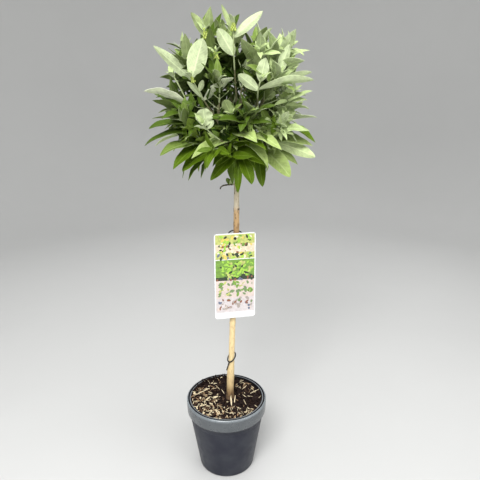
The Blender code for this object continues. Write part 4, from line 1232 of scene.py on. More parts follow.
def pot_zone(face):
    """0 on the body, 1 on the band, 2 in the groove and on the wall above the soil, 3 on the ring."""
    middle = face.calc_center_median()
    if middle.z < BODY_TOP + GAP:
        return 0
    groove_outer, groove_inner, _ = rim_radii()
    away = math.hypot(middle.x, middle.y)
    # The inner ring's top gets a painted highlight
    if away < groove_inner - GAP and face.normal.z > 0.5:
        return 3
    # The groove and the wall above the soil get painted shade
    return 2 if away < groove_outer + LIP_WIDTH else 1


def paint_edge_highlight(material, pale):
    """Paints a highlight on the rim's rounded upper edge: a paler colour, in patches."""
    tree = material.node_tree
    shader = tree.nodes["Principled BSDF"]
    below = shader.inputs["Base Color"].links[0].from_socket
    coords = wire(tree, "TexCoord").outputs["Object"]
    # Patches where the painted highlight is strongest
    wear_and_highlight = mapped(tree, noise_of(tree, coords, EDGE_HIGHLIGHT_PATCHES, 2.0), 0.3, 0.7, *EDGE_HIGHLIGHT_RANGE)
    top = mapped(tree, parts_of(tree, coords)[2], POT_HEIGHT - EDGE_DEPTH, POT_HEIGHT - EDGE_FULL)
    where = calc(tree, "MULTIPLY", top, wear_and_highlight)
    fed(tree, shader, {"Base Color": mixed(tree, where, below, rgba(pale))})


class BUSH_OT_pot(bpy.types.Operator):
    """Moulded pot with a rim band, a grooved lip and faint lines under the band"""

    bl_idname = "bush.pot"
    bl_label = "Pot"

    def execute(self, context):
        settings = context.scene.bush_pot
        bm = spun(pot_profile(), settings.steps)
        crease = math.radians(POT_CREASE)
        corners = [edge for edge in bm.edges if edge.calc_face_angle(0.0) > crease]
        bmesh.ops.bevel(bm, geom=corners, offset=POT_BEVEL, segments=2, profile=0.5, affect="EDGES",
                        clamp_overlap=True, material=-1)
        bm.normal_update()
        for face in bm.faces:
            face.material_index = pot_zone(face)
        rough = settings.roughness
        # Name, colour, the colour worked into it with its scale and share, roughness and shine
        rows = (
            ("pot_body", settings.plastic, settings.wear_and_highlight, 26.0, 0.16, rough + 0.12, 0.25),
            # The band's paler grey is painted light on the body's plastic
            ("pot_band", settings.band, settings.wear_and_highlight, 40.0, 0.3, rough, 1.0),
            # Painted shade in the groove and on the inner wall above the soil
            ("pot_groove", settings.groove, settings.plastic, 60.0, 0.3, 0.8, 0.1),
            # Painted highlight on the inner ring
            ("pot_ring", settings.wear_and_highlight, settings.band, 60.0, 0.3, rough, 0.5),
        )
        finishes = [mottled_material(*row, "moulding", specular=shine) for *row, shine in rows]
        # Painted highlight along the band's upper edge
        paint_edge_highlight(finishes[1], settings.edge)
        new_piece("pot_shell", finished(bm, "pot_shell"), finishes, ["pot"])
        return {"FINISHED"}


# Soil


def soil_height(x, y):
    """Height of the soil's surface: level round the stem's foot, banked at the back and left."""
    away = math.hypot(x - STEM_COURSE[0][1], y - STEM_BACK_FOOT)
    if away < SOIL_FLAT_RADIUS:
        return SOIL_LEVEL
    part = min((away - SOIL_FLAT_RADIUS) / SOIL_SLOPE_WIDTH, 1.0)
    bank = SOIL_BANK * max(0.0, (x * SOIL_BANK_WAY[0] + y * SOIL_BANK_WAY[1]) / RIM_RADIUS) ** 1.5
    right, back, skew = SOIL_WAVES
    ripple = SOIL_RIPPLE * math.sin(x * right) * math.sin(y * back + x * skew)
    return SOIL_LEVEL + (SOIL_RIM_LEVEL - SOIL_LEVEL + bank + ripple) * part


def crumbled_height(x, y, relief):
    """The soil's surface with its crumbs."""
    lumps = noise.fractal(Vector((x * LUMP_SCALE, y * LUMP_SCALE, 0.3)), 0.9, 2.1, 4)
    low, high = LUMP_RANGE
    return soil_height(x, y) + relief * max(low, min(lumps, high))


def strewn(rng, number, reach, wanted):
    """Seeded places on the soil, kept where a wanted share says so."""
    places = []
    while len(places) < number:
        radius = reach * math.sqrt(rng.random())
        turn = rng.uniform(0.0, math.tau)
        x, y = radius * math.cos(turn), radius * math.sin(turn)
        if rng.random() < wanted(x, y):
            places.append((x, y))
    return places


def chips_wanted(x, y):
    """Chips lie thick at the front and left, thin behind the stem and to its right."""
    wanted = CHIP_SHARE
    for part, right, width, back, depth in CHIP_PATCHES:
        wanted += part * (bump_at(x, right, width) * bump_at(y, back, depth))
    return max(CHIP_LEAST, min(1.0, wanted))


def chip_shape():
    """A sliver one unit long that narrows to a ragged end: bar or flat flake."""
    bm = bmesh.new()
    bmesh.ops.create_cube(bm, size=1.0)
    length = [edge for edge in bm.edges if abs(edge.verts[0].co.x - edge.verts[1].co.x) > 0.5]
    bmesh.ops.subdivide_edges(bm, edges=length, cuts=3)
    for vert in bm.verts:
        vert.co.y *= 1.0 - CHIP_NARROWING * abs(vert.co.x * 2.0) ** 2
        vert.co.z += CHIP_ARCH * (0.25 - vert.co.x ** 2)
    return shape_arrays(bm)


def ball_shape():
    """A rough ball one unit across: a crumb or a bud."""
    bm = bmesh.new()
    bmesh.ops.create_icosphere(bm, subdivisions=1, radius=0.5)
    return shape_arrays(bm)


def shape_arrays(bm):
    """A small shape as places and faces, which face outward."""
    bmesh.ops.recalc_face_normals(bm, faces=bm.faces)
    return arrays_of(bm)


def scattered(heap, shape, rng, place, size, turn, material, jitter):
    """Lays one shape, scaled, made uneven, turned and moved."""
    places, faces = shape
    low, high = 1.0 - jitter, 1.0 + jitter
    uneven = np.array([[rng.uniform(low, high) for _ in range(3)] for _ in places])
    spots = places * uneven * np.array(size)
    spots = spots @ np.array(turn.to_matrix()).T + np.array(place)
    heap.lay(spots, faces, material)


def lay_ground(settings):
    floor = POT_FLOOR + GAP
    rim = rim_radii()[2] - ROUND_GAP
    low = pot_inner_radius(floor) - ROUND_GAP
    profile = [(0.0, SOIL_LEVEL)]
    profile += [(rim * (i + 1) / SOIL_RINGS, SOIL_LEVEL) for i in range(SOIL_RINGS)]
    profile += [(rim, BODY_TOP), (low, floor), (0.0, floor)]
    bm = spun(profile, SOIL_STEPS)
    for vert in bm.verts:
        if vert.co.z > SOIL_LEVEL - GAP:
            vert.co.z = crumbled_height(vert.co.x, vert.co.y, settings.relief)
    peat, dry = settings.peat, settings.dry_peat
    mix = mottled_material("soil_mix", peat, dry, 210.0, 0.6, 0.92, "soil", specular=0.2)
    new_piece("soil_bed", finished(bm, "soil_bed"), [mix], ["soil"])


def strew_crumbs(settings):
    """Loose crumbs all over, and some heaped against the rim."""
    rng = random.Random(CRUMB_SEED)
    heap = Heap()
    shape = ball_shape()
    reach = rim_radii()[2] - CRUMB_INSET
    places = [(x, y, 0.0) for x, y in strewn(rng, settings.crumbs, reach, lambda x, y: 1.0)]
    for _ in range(settings.heaped):
        way = direction(rng.uniform(*HEAP_AZIMUTHS), 0.0) * rng.uniform(*HEAP_REACHES)
        places.append((way.x, way.y, rng.uniform(0.0, HEAP_RISE)))
    for x, y, rise in places:
        size = CRUMB_SIZE + CRUMB_SPREAD * rng.random() ** 2
        place = (x, y, crumbled_height(x, y, settings.relief) + size * 0.25 + rise)
        turn = Vector((rng.random(), rng.random(), rng.random())).to_track_quat("Z", "Y")
        tone = rng.choice(CRUMB_TONES)
        scattered(heap, shape, rng, place, (size, size * 0.8, size * 0.7), turn, tone, CRUMB_JITTER)
    peat, dry = settings.peat, settings.dry_peat
    finishes = [
        mottled_material("crumb_wet", peat, dry, 300.0, 0.35, 0.9, "crumb", specular=0.1),
        mottled_material("crumb_dry", dry, peat, 300.0, 0.7, 0.95, "crumb", specular=0.1),
    ]
    new_piece("soil_crumbs", heap.mesh("soil_crumbs"), finishes)


def strew_chips(settings):
    """Splinters, flakes and bark: some where they catch the eye, the rest strewn."""
    rng = random.Random(CHIP_SEED)
    heap = Heap()
    shape = chip_shape()
    reach = rim_radii()[2] - CHIP_INSET
    for x, y, azimuth, rise, length, width in LAID_CHIPS:
        lay_chip(heap, shape, rng, settings, (x, y), direction(azimuth, rise), length, width, 0)
    shares = [kind[0] for kind in CHIP_KINDS]
    for x, y in strewn(rng, settings.chips, reach, chips_wanted):
        kind = rng.choices(range(len(CHIP_KINDS)), shares)[0]
        _, lengths, widths = CHIP_KINDS[kind]
        length = between(*lengths, rng.random() ** 1.8)
        to_ring = reach + CHIP_INSET - math.hypot(x, y)
        length = min(length, to_ring * 2.0 + CHIP_OVERHANG)
        heading = direction(rng.uniform(0.0, 360.0), rng.gauss(4.0, 15.0))
        tone = 2 if kind == 2 else rng.choice((0, 0, 1))
        lay_chip(heap, shape, rng, settings, (x, y), heading, length, rng.uniform(*widths), tone)
    straw, old_straw, peat = settings.straw, settings.old_straw, settings.peat
    finishes = [
        mottled_material("straw_fresh", straw, old_straw, 160.0, 0.4, 0.7, "chip"),
        mottled_material("straw_aged", old_straw, settings.dry_peat, 200.0, 0.5, 0.8, "chip"),
        mottled_material("bark_chip", settings.old_bark, peat, 240.0, 0.6, 0.9, "chip", specular=0.1),
    ]
    new_piece("soil_chips", heap.mesh("soil_chips"), finishes)


def lay_chip(heap, shape, rng, settings, place, heading, length, width, tone):
    """One chip, its lower end on the soil."""
    thick = rng.uniform(*CHIP_THICKNESS)
    turn = heading.to_track_quat("X", "Z")
    lift = abs(heading.z) * length * 0.5
    height = crumbled_height(*place, settings.relief) + lift + thick + CHIP_CLEAR
    scattered(heap, shape, rng, (*place, height), (length, width, thick), turn, tone, CHIP_JITTER)


class BUSH_OT_soil(bpy.types.Operator):
    """Dark crumbly potting mix with loose crumbs, and pale chips of straw and bark"""

    bl_idname = "bush.soil"
    bl_label = "Soil"

    def execute(self, context):
        settings = context.scene.bush_soil
        lay_ground(settings)
        strew_crumbs(settings)
        strew_chips(settings)
        return {"FINISHED"}


# Stem and boughs


def bark_relief(turn, height, depth):
    """How far the bark stands out at an angle and height: long ridges, lumps, nodes and collars."""
    x, y = math.cos(turn), math.sin(turn)
    ridges = noise.noise(Vector((x * 4.0, y * 4.0, height * 55.0)))
    lumps = noise.noise(Vector((x * 1.2 + 7.0, y * 1.2, height * 22.0)))
    relief = depth * (ridges + 1.3 * lumps)
    proud, spread = NODE_BULGE
    for number, node in enumerate(NODE_HEIGHTS):
        side = math.cos(turn - number * math.pi / 2.0)
        relief += proud * bump_at(height, node, spread) * (0.4 + side * side)
    proud, spread = COLLAR_BULGE
    for node_height, azimuth, _, _ in BOUGHS.values():
        apart = math.cos(turn - math.radians(azimuth))
        relief += proud * bump_at(height, node_height - 0.001, spread) * max(apart, 0.0) ** 2
    return relief


def stem_rings(sides, step, depth):
    """Rings up the stem, each with its bark relief."""
    top = STEM_COURSE[-1][0]
    number = round(top / step)
    rings = []
    for i in range(number + 1):
        height = top * i / number
        centre, radius = stem_at(height)
        flare = FLARE_SHARE * max(0.0, 1.0 - height / FLARE_HEIGHT)
        ring = []
        for j in range(sides):
            turn = math.tau * j / sides
            reach = radius * (1.0 + flare * math.cos(FLARE_LOBES * turn)) + bark_relief(turn, height, depth)
            ring.append(centre + Vector((math.cos(turn), math.sin(turn), 0.0)) * reach)
        rings.append(ring)
    return rings


def collars():
    """A short cone under each bough and the side twig: name, points and radii."""
    rows = []
    for name, (height, azimuth, rise, _) in BOUGHS.items():
        centre, end, _ = collar_end(height, azimuth, rise)
        rows.append((name, centre, end, BOUGH_FOOT_RADIUS * 1.35, BOUGH_FOOT_RADIUS))
    centre, end, _ = collar_end(TWIG_HEIGHT, TWIG_AZIMUTH, 0.0)
    rows.append(("twig", centre, end, TWIG_RADIUS * 1.8, TWIG_RADIUS))
    return rows


class BUSH_OT_stem(bpy.types.Operator):
    """Stem with bark relief, nodes and a collar under each bough"""

    bl_idname = "bush.stem"
    bl_label = "Stem"

    def execute(self, context):
        settings = context.scene.bush_stem
        bm = drawn(stem_rings(settings.sides, STEM_RING_STEP, settings.relief))
        stem = scratch_object(bm, "stem_wood")
        for name, centre, end, foot_radius, end_radius in collars():
            points = [centre.lerp(end, part) for part in COLLAR_TAPER]
            radii = [foot_radius, foot_radius, (foot_radius + end_radius) * 0.5, end_radius]
            combined(stem, scratch_object(limb(points, radii, 14), "collar_" + name), "UNION")
        new_piece("stem_wood", freed_mesh(stem, 50.0), [bark_material(settings)], ["trunk"])
        return {"FINISHED"}


class BUSH_OT_boughs(bpy.types.Operator):
    """Short boughs that leave the stem in opposite pairs, with uneven bark"""

    bl_idname = "bush.boughs"
    bl_label = "Boughs"

    def execute(self, context):
        wood = shoot_materials(context.scene.bush_stem)[0]
        for name in BOUGHS:
            points = bough_course(name, BOUGH_RINGS)
            radii = []
            for i, point in enumerate(points):
                radius = between(BOUGH_FOOT_RADIUS, BOUGH_TIP_RADIUS, i / (BOUGH_RINGS - 1))
                radii.append(radius + BOUGH_UNEVEN * noise.noise(point * LUMP_SCALE))
            piece = "bough_wood_" + name
            new_piece(piece, finished(limb(points, radii, 12), piece), [wood], ["bough_" + name])
        return {"FINISHED"}


# Growth of the head


def mass_stem(name):
    """Foot, heading and radius of the stem that a mass grows from."""
    if name == "top":
        centre, radius = stem_at(STEM_COURSE[-1][0])
        return centre + UP * GAP, UP.copy(), min(radius, TOP_STEM_RADIUS)
    points = bough_course(name)
    axis = (points[-1] - points[-2]).normalized()
    return points[-1] + axis * GAP, axis, BOUGH_TIP_RADIUS


def shoot_courses(name):
    """The mass's stem end, and a curve for each shoot that branches from it."""
    foot, heading, _ = mass_stem(name)
    fork = foot + heading * MASS_STEM
    courses = []
    for azimuth, rise, reach, turn, habit in SHOOTS[name]:
        outward = direction(azimuth, rise)
        tip = Vector(HEAD_CENTRE) + outward * reach
        span = (tip - fork).length
        leave = (heading * (1.0 - SHOOT_LEAVE) + (tip - fork).normalized() * SHOOT_LEAVE).normalized()
        arrive = (outward * (1.0 - SHOOT_LIFT) + UP * SHOOT_LIFT).normalized()
        courses.append(((fork, leave * span * SHOOT_CURVE, arrive * span * SHOOT_CURVE, tip), turn, habit))
    return fork, courses


def space_seeds():
    """One place in the middle of each mass. A mass's space is all that lies nearest to its own."""
    seeds = {}
    for name in SHOOTS:
        middles = [bezier(*course, SPACE_SHARE) for course, _, _ in shoot_courses(name)[1]]
        seeds[name] = sum(middles, Vector()) / len(middles)
    return seeds


def in_own_space(name, places, seeds, margin):
    """True if every place lies on its own mass's side of each dividing plane."""
    own = seeds[name]
    for other_name, other in seeds.items():
        if other_name == name:
            continue
        middle = (own + other) * 0.5
        away = (other - own).normalized()
        if any((place - middle).dot(away) > -margin for place in places):
            return False
    return True


def leaf_place(leaf, at):
    """Place on the leaf's midrib at a share of its length."""
    base, heading, face, length, _, droop = leaf
    angle = droop * at
    return base + (heading * math.sin(angle) - face * (1.0 - math.cos(angle))) * (length / droop)


def midrib(leaf):
    """The places along a leaf that keep room round them."""
    return [leaf_place(leaf, at) for at in ROOM_SHARES]


def standout_leaf(course, at, offset, width, droop, facing):
    """A leaf whose tip lies at a given place from its base, bent evenly on the way."""
    chord = Vector(offset)
    along = chord.normalized()
    rise = across(along, Vector(FACINGS[facing]))
    half = droop * 0.5
    heading = turned(along, rise, half)
    length = chord.length * half / math.sin(half)
    base = shoot_place(course, at) - heading * LEAF_ROOT
    return base, heading, turned(rise, -along, half), length, width, droop


def leaf_outline(leaf):
    """A leaf's base, three places round its widest and its tip."""
    base, heading, face, length, width, droop = leaf
    middle = leaf_place(leaf, LEAF_STATION)
    normal = turned(face, heading, droop * LEAF_STATION)
    half = heading.cross(face) * width * 0.5
    lift = normal * width * 0.5 * LEAF_FOLD
    ring = [middle - half + lift, middle - normal * length * LEAF_KEEL, middle + half + lift]
    return [base, *ring, leaf_place(leaf, 1.0)]


OUTLINE_FACES = ((0, 2, 1), (0, 3, 2), (0, 1, 3), (1, 2, 4), (2, 3, 4), (3, 1, 4))


def leaf_tries(leaf, axis, outward):
    """The leaf as grown, then leaning more and more into its own space, and smaller."""
    base, heading, face, length, width, droop = leaf
    yield leaf
    for to_middle, to_shoot, size in LEAF_TRIES:
        leaning = (heading + outward * to_middle + axis * to_shoot).normalized()
        yield base, leaning, across(leaning, face), length * size, width * size, droop


class Room:
    """Places that leaves already take up, in boxes as wide as the room each place keeps."""

    def __init__(self, width):
        self.width = width
        self.boxes = {}

    def box_of(self, place):
        return tuple(math.floor(value / self.width) for value in place)

    def is_free(self, places):
        for place in places:
            near = itertools.product(*((at - 1, at, at + 1) for at in self.box_of(place)))
            taken = (other for box in near for other in self.boxes.get(box, ()))
            if any((place - other).length < self.width for other in taken):
                return False
        return True

    def take(self, places):
        for place in places:
            self.boxes.setdefault(self.box_of(place), []).append(place)


def search_tree(bm):
    """Search tree of a limb's skin, which leaves keep clear of."""
    bmesh.ops.recalc_face_normals(bm, faces=bm.faces)
    bm.normal_update()
    for vert in bm.verts:
        vert.co += vert.normal * LIMB_MARGIN
    tree = BVHTree.FromBMesh(bm)
    bm.free()
    return tree


def node_tree_of(node):
    """Search tree of a CAD node, from a merged copy of its mesh."""
    bm = bmesh.new()
    bm.from_mesh(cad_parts[node].data)
    bmesh.ops.remove_doubles(bm, verts=bm.verts, dist=1e-6)
    return search_tree(bm)


def grow_shoots(name, stations=SHOOT_STATIONS):
    """The stem and shoots of one mass, as rows of points and radii."""
    foot, _, stem_radius = mass_stem(name)
    fork, courses = shoot_courses(name)
    shoots = [((foot, foot.lerp(fork, 0.5), fork), [stem_radius * taper for taper in MASS_STEM_TAPER])]
    parts = [i / stations for i in range(stations + 1)]
    for course, _, _ in courses:
        start, leave, arrive, tip = course
        points = [bezier(*course, part) for part in parts]
        points[0] = start - leave.normalized() * SHOOT_FOOT_RADIUS
        points.append(tip + arrive.normalized() * BUD_LENGTH)
        radii = [between(SHOOT_FOOT_RADIUS, SHOOT_TIP_RADIUS, part) for part in parts]
        shoots.append((points, radii + [SHOOT_TIP_RADIUS]))
    return shoots


def shoot_place(course, at):
    """Place on the straight stretches that a shoot's solid follows between its stations."""
    below = min(int(at * SHOOT_STATIONS), SHOOT_STATIONS - 1)
    low = bezier(*course, below / SHOOT_STATIONS)
    high = bezier(*course, (below + 1) / SHOOT_STATIONS)
    return low.lerp(high, at * SHOOT_STATIONS - below)


class Space:
    """Where leaves may go: inside their own mass's space, clear of limbs, and not crowded."""

    def __init__(self):
        self.seeds = space_seeds()
        self.rng = random.Random(SHOOT_SEED)
        self.room = Room(LEAF_ROOM)
        self.sight = Room(SIGHT_ROOM)
        self.limbs = [node_tree_of(node) for node in ["trunk"] + ["bough_" + name for name in BOUGHS]]
        self.shoots = {}
        for name in SHOOTS:
            rows = enumerate(grow_shoots(name))
            self.shoots[name] = [search_tree(limb(*row, SHOOT_SIDES, pointed=i > 0)) for i, row in rows]

    def admits(self, name, leaf, room=None):
        """True if the leaf fits, which then takes up its room."""
        room = room or self.room
        outline = leaf_outline(leaf)
        if not in_own_space(name, outline, self.seeds, SPACE_MARGIN):
            return False
        rib = midrib(leaf)
        if not room.is_free(rib) or not self.sight.is_free(rib) or self.touches(name, outline):
            return False
        room.take(rib)
        return True

    def keep_in_sight(self, places):
        """Keeps a way to the front free from each place."""
        for place in places:
            self.sight.take([place - FORWARD * SIGHT_STEP * step for step in range(1, SIGHT_STEPS + 1)])

    def touches(self, name, outline):
        """True if the leaf meets the trunk, a bough or another mass's shoot."""
        tree = BVHTree.FromPolygons(outline, OUTLINE_FACES)
        others = [other for key, trees in self.shoots.items() if key != name for other in trees]
        return any(tree.overlap(other) for other in self.limbs + others)


def leaf_droop(at, heading, rng):
    """How far a leaf bends down, in radians: most low on the shoot and where it lies level."""
    aged = between(*DROOP_BY_AGE, at)
    levelled = between(*DROOP_BY_LEVEL, math.hypot(heading.x, heading.y))
    return LEAF_DROOP * rng.uniform(*DROOP_RANGE) * aged * levelled


def strayed(rng, angle, spread):
    """An angle in degrees that strays to either side, in radians."""
    return math.radians(angle + rng.uniform(-spread, spread))


def grow_leaves(name, course, turn, nodes, space):
    """Opposite pairs of leaves along one shoot, each pair turned against the last."""
    leaves = []
    rng = space.rng
    outward = (space.seeds[name] - course[0]).normalized()
    for number, (at, length, opening) in enumerate(nodes):
        place = shoot_place(course, at)
        ahead = bezier(*course, min(at + AXIS_STEP, 1.0))
        axis = (ahead - bezier(*course, at - AXIS_STEP)).normalized()
        side, other = square_to(axis)
        for half_turn in (0.0, 180.0):
            out = turned(side, other, strayed(rng, turn + PAIR_TURN * number + half_turn, ROLL_SPREAD))
            heading = turned(axis, out, strayed(rng, opening, OPENING_SPREAD))
            size = length * rng.uniform(*SIZE_RANGE)
            width = size * LEAF_SLENDER * rng.uniform(*WIDTH_RANGE)
            heading = (heading + UP * LEAF_RISE * at).normalized()
            droop = leaf_droop(at, heading, rng)
            face = across(heading, across(heading, axis) + UP * LEAF_LIGHT_TURN)
            leaf = (place - heading * LEAF_ROOT, heading, face, size, width, droop)
            for attempt in leaf_tries(leaf, axis, outward):
                if space.admits(name, attempt):
                    leaves.append((at, attempt))
                    break
    return leaves


# Sprigs, tips and buds


def axis_of(course, at):
    """The way that a curve heads at a share of its length."""
    low = max(at - AXIS_STEP, 0.0)
    return (bezier(*course, min(low + AXIS_STEP * 2.0, 1.0)) - bezier(*course, low)).normalized()


def small_pair(course, at, length, opening, turn, rng):
    """Two small opposite leaves at a share of a curve."""
    place = bezier(*course, min(at, 1.0))
    axis = axis_of(course, at)
    side, other = square_to(axis)
    for half_turn in (0.0, 180.0):
        roll = strayed(rng, turn + half_turn, SMALL_ROLL)
        angle = strayed(rng, opening, SMALL_OPENING)
        size = length * rng.uniform(*SMALL_SIZES)
        heading = turned(axis, turned(side, other, roll), angle).normalized()
        face = across(heading, across(heading, axis) + UP * LEAF_LIGHT_TURN)
        droop = 0.25 + 0.7 * rng.random()
        yield place - heading * LEAF_ROOT, heading, face, size, size * rng.uniform(*SMALL_SLENDER), droop


def grow_sprig(name, course, at, out, space, room, rng):
    """A short curved side shoot with pairs of small leaves, or nothing where there is no room."""
    axis = axis_of(course, at)
    angle = math.radians(SPRIG_OPENING + rng.uniform(*SPRIG_STRAY))
    heading = turned(axis, out, angle).normalized()
    length = rng.uniform(*SPRIG_LENGTH) * (1.15 - 0.5 * at)
    arrival = (heading + axis * SPRIG_BEND[0] + UP * SPRIG_BEND[1]).normalized()
    foot = bezier(*course, at)
    tip = foot + (heading * 0.65 + arrival * 0.35) * length
    sprig = (foot, heading * length * SPRIG_CURVE, arrival * length * SPRIG_CURVE, tip)
    if not in_own_space(name, [tip], space.seeds, SPACE_MARGIN * 4.0):
        return None, []
    leaves = []
    for number, (part, size, opening) in enumerate(SPRIG_PAIRS):
        grown = size * (0.7 + 0.5 * length / SPRIG_LENGTH[1])
        pair = small_pair(sprig, part, grown, opening, PAIR_TURN * number, rng)
        leaves += [leaf for leaf in pair if space.admits(name, leaf, room)]
    return sprig, leaves


def bud_places(tip, axis, scale, rng):
    """Middles and sizes of the buds in a spike, in whorls that narrow to its end."""
    side, other = square_to(axis)
    rows = []
    for whorl in range(BUD_WHORLS):
        reach = BUD_SIZE * scale * (1.0 - whorl / 6.5)
        for i in range(BUDS_IN_WHORL):
            turn = math.tau * (i + 0.5 * whorl) / BUDS_IN_WHORL + rng.uniform(-0.2, 0.2)
            place = tip + axis * (whorl * WHORL_STEP * scale) + turned(side, other, turn) * reach
            rows.append((place, BUD_SIZE * scale * (1.0 - 0.09 * whorl)))
    rows.append((tip + axis * SPIKE_LENGTH * scale, END_BUD_SIZE * scale))
    return rows


# Leaf blades


def half_width(at, peak, rise):
    """Half the blade's width at a share of its length, one at the widest."""
    fall = rise * (1.0 - peak) / peak
    at = min(max(at, 0.0), 1.0)
    return (at / peak) ** rise * ((1.0 - at) / (1.0 - peak)) ** fall


def blade_shape(kind):
    """A flat blade in two layers: places as (along, across, layer), faces, their sides, and widths."""
    rows, columns, peak, rise = BLADES[kind]
    bm = bmesh.new()
    bmesh.ops.create_grid(bm, x_segments=rows, y_segments=columns, size=0.5)
    for vert in bm.verts:
        at = vert.co.x + 0.5
        at -= BLADE_EASE * math.sin(math.tau * at)
        vert.co = (at, vert.co.y * 2.0 * half_width(at, peak, rise), 0.0)
    bmesh.ops.remove_doubles(bm, verts=bm.verts, dist=1e-5)
    bmesh.ops.solidify(bm, geom=bm.faces[:], thickness=1.0)
    bmesh.ops.recalc_face_normals(bm, faces=bm.faces)
    middle = sum(vert.co.z for vert in bm.verts) / len(bm.verts)
    sides = [0 if face.normal.z > 0.5 else 1 for face in bm.faces]
    places, faces = arrays_of(bm)
    places[:, 2] -= middle
    widths = np.array([half_width(at, peak, rise) for at in places[:, 0]])
    return places, faces, sides, widths


def lay_leaves(heap, shape, rows, rng):
    """Bends a blade along each leaf's arc and lays it into the heap. A row is a leaf and its tone."""
    places, faces, sides, widest = shape
    along, sideways, layer = places.T
    edge = np.clip(np.abs(sideways) / np.maximum(widest, 1e-6), 0.0, 1.0)
    blade = np.stack([along, 0.5 + 0.5 * np.sign(sideways) * edge], axis=1).tolist()
    for (base, heading, face, length, width, droop), tone in rows:
        base, heading, face = np.array(base), np.array(heading), np.array(face)
        side = np.cross(heading, face)
        angle = (droop * along)[:, None]
        centre = base + (heading * np.sin(angle) - face * (1.0 - np.cos(angle))) * (length / droop)
        normal = face * np.cos(angle) + heading * np.sin(angle)
        twist = (rng.uniform(-BLADE_TWIST, BLADE_TWIST) * along)[:, None]
        level = side * np.cos(twist) + normal * np.sin(twist)
        raised = normal * np.cos(twist) - side * np.sin(twist)
        fold = LEAF_FOLD * rng.uniform(*FOLD_RANGE)
        height = rng.uniform(*BLADE_WAVE)
        wave = height * np.sin(along * rng.uniform(*BLADE_WAVES) + rng.uniform(0.0, 6.3)) * edge ** 2
        curl = rng.uniform(*BLADE_CURL) * length * along ** 4
        reach = sideways * width * 0.5
        lift = np.abs(reach) * fold + wave * width * widest + layer * BLADE_THICKNESS - curl
        spots = centre + level * reach[:, None] + raised * lift[:, None]
        heap.lay(spots, faces, [tone * 2 + part for part in sides], blade)


def tone_of(at, place, name, habit, rng):
    """Which tone a leaf has, from its age along the shoot, its mass and its place in the head."""
    away = place - Vector(HEAD_CENTRE)
    age = at + (LEAD_AGE if habit == "lead" else 0.0)
    # Place and mass add painted shade and light: darker tones inside the head, paler in some masses
    light = AGE_SHARE * age + PLACE_SHARE * min(away.length / HEAD_REACH, 1.1)
    light += rng.uniform(-TONE_STRAY, TONE_STRAY)
    light += MASS_LIGHT.get(name, 0.0)
    # Low in the head the vivid and lime tones are partly painted light shining through the leaves
    if away.z < LOW_FROM + rng.uniform(-LOW_STRAY, LOW_STRAY):
        pale = rng.random() < (LIME_SHARE if away.x > LIME_RIGHT else LIME_SHARE * 0.4)
        return TONES.index("lime" if pale and light > LIME_FROM else "low")
    return TONES.index(next(tone for tone, least in TONE_FROM if light > least))


def place_standouts(space):
    """The leaves that stand out, by mass. They and the leading shoots are kept in sight."""
    standouts = {name: [] for name in SHOOTS}
    for name, number, at, offset, width, droop, facing, tone in STANDOUT_LEAVES:
        leaf = standout_leaf(shoot_courses(name)[1][number][0], at, offset, width, droop, facing)
        if space.admits(name, leaf):
            standouts[name].append((leaf, TONES.index(tone)))
    for rows in standouts.values():
        for leaf, _ in rows:
            space.keep_in_sight(midrib(leaf))
    for name in SHOOTS:
        for course, _, habit in shoot_courses(name)[1]:
            if habit == "lead":
                space.keep_in_sight([bezier(*course, at) for at in SIGHT_SHARES])
    return standouts


def lay_mass(name, shoots, standouts, shapes, finishes, space, room, rng):
    """One mass: its wood, then its leaves in three sizes."""
    leaf_heap, wood_heap = Heap(), Heap()
    lay_wood(wood_heap, name)
    main_rows, small_rows = [], []
    for course, turn, habit, leaves in shoots:
        for at, leaf in leaves:
            main_rows.append((leaf, tone_of(at, leaf_place(leaf, 0.5), name, habit, rng)))
        small_rows += grow_small(wood_heap, name, course, turn, habit, space, room, rng)
    for shape, rows in zip(shapes, (standouts, main_rows, small_rows)):
        lay_leaves(leaf_heap, shape, rows, rng)
    piece = "leaves_" + name
    new_piece(piece, leaf_heap.mesh(piece, 60.0), finishes[0], ["foliage_" + name])
    piece = "shoots_" + name
    new_piece(piece, wood_heap.mesh(piece), finishes[1])


def lay_wood(heap, name):
    """The mass's own stem and its shoots: wood below, young above."""
    rows = grow_shoots(name, WOOD_STATIONS)
    heap.lay_bmesh(limb(*rows[0], 8), 0)
    for points, radii in rows[1:]:
        swollen = [radius * (1.0 + WOOD_SWELLING * (i % 2)) for i, radius in enumerate(radii)]
        half = len(points) // 2
        heap.lay_bmesh(limb(points[:half + 1], swollen[:half + 1], 7), 0)
        heap.lay_bmesh(limb(points[half:], swollen[half:], 7, pointed=True), 1)


def grow_small(heap, name, course, turn, habit, space, room, rng):
    """Sprigs in the leaf axils, and the closing pairs at the shoot's tip."""
    rows = []
    for number, (at, _, _) in enumerate(LEAF_NODES[habit]):
        side, other = square_to(axis_of(course, at))
        for half_turn in (0.0, 180.0):
            out = turned(side, other, math.radians(turn + PAIR_TURN * number + half_turn))
            if at > SPRIG_TOP_SHARE or rng.random() > SPRIG_CHANCE:
                continue
            sprig, leaves = grow_sprig(name, course, at, out, space, room, rng)
            if not leaves:
                continue
            points = [bezier(*sprig, i / 4.0) for i in range(5)]
            radii = [SPRIG_RADIUS * (1.0 - 0.12 * i) for i in range(5)]
            heap.lay_bmesh(limb(points, radii, 5, pointed=True), 1)
            for leaf in leaves:
                rows.append((leaf, tone_of(at * 0.9 + 0.12, leaf[0], name, habit, rng)))
    for number, (at, length, opening) in enumerate(TIP_PAIRS):
        for leaf in small_pair(course, at, length, opening, turn + 45.0 + PAIR_TURN * number, rng):
            rows.append((leaf, TONES.index("young")))
    return rows


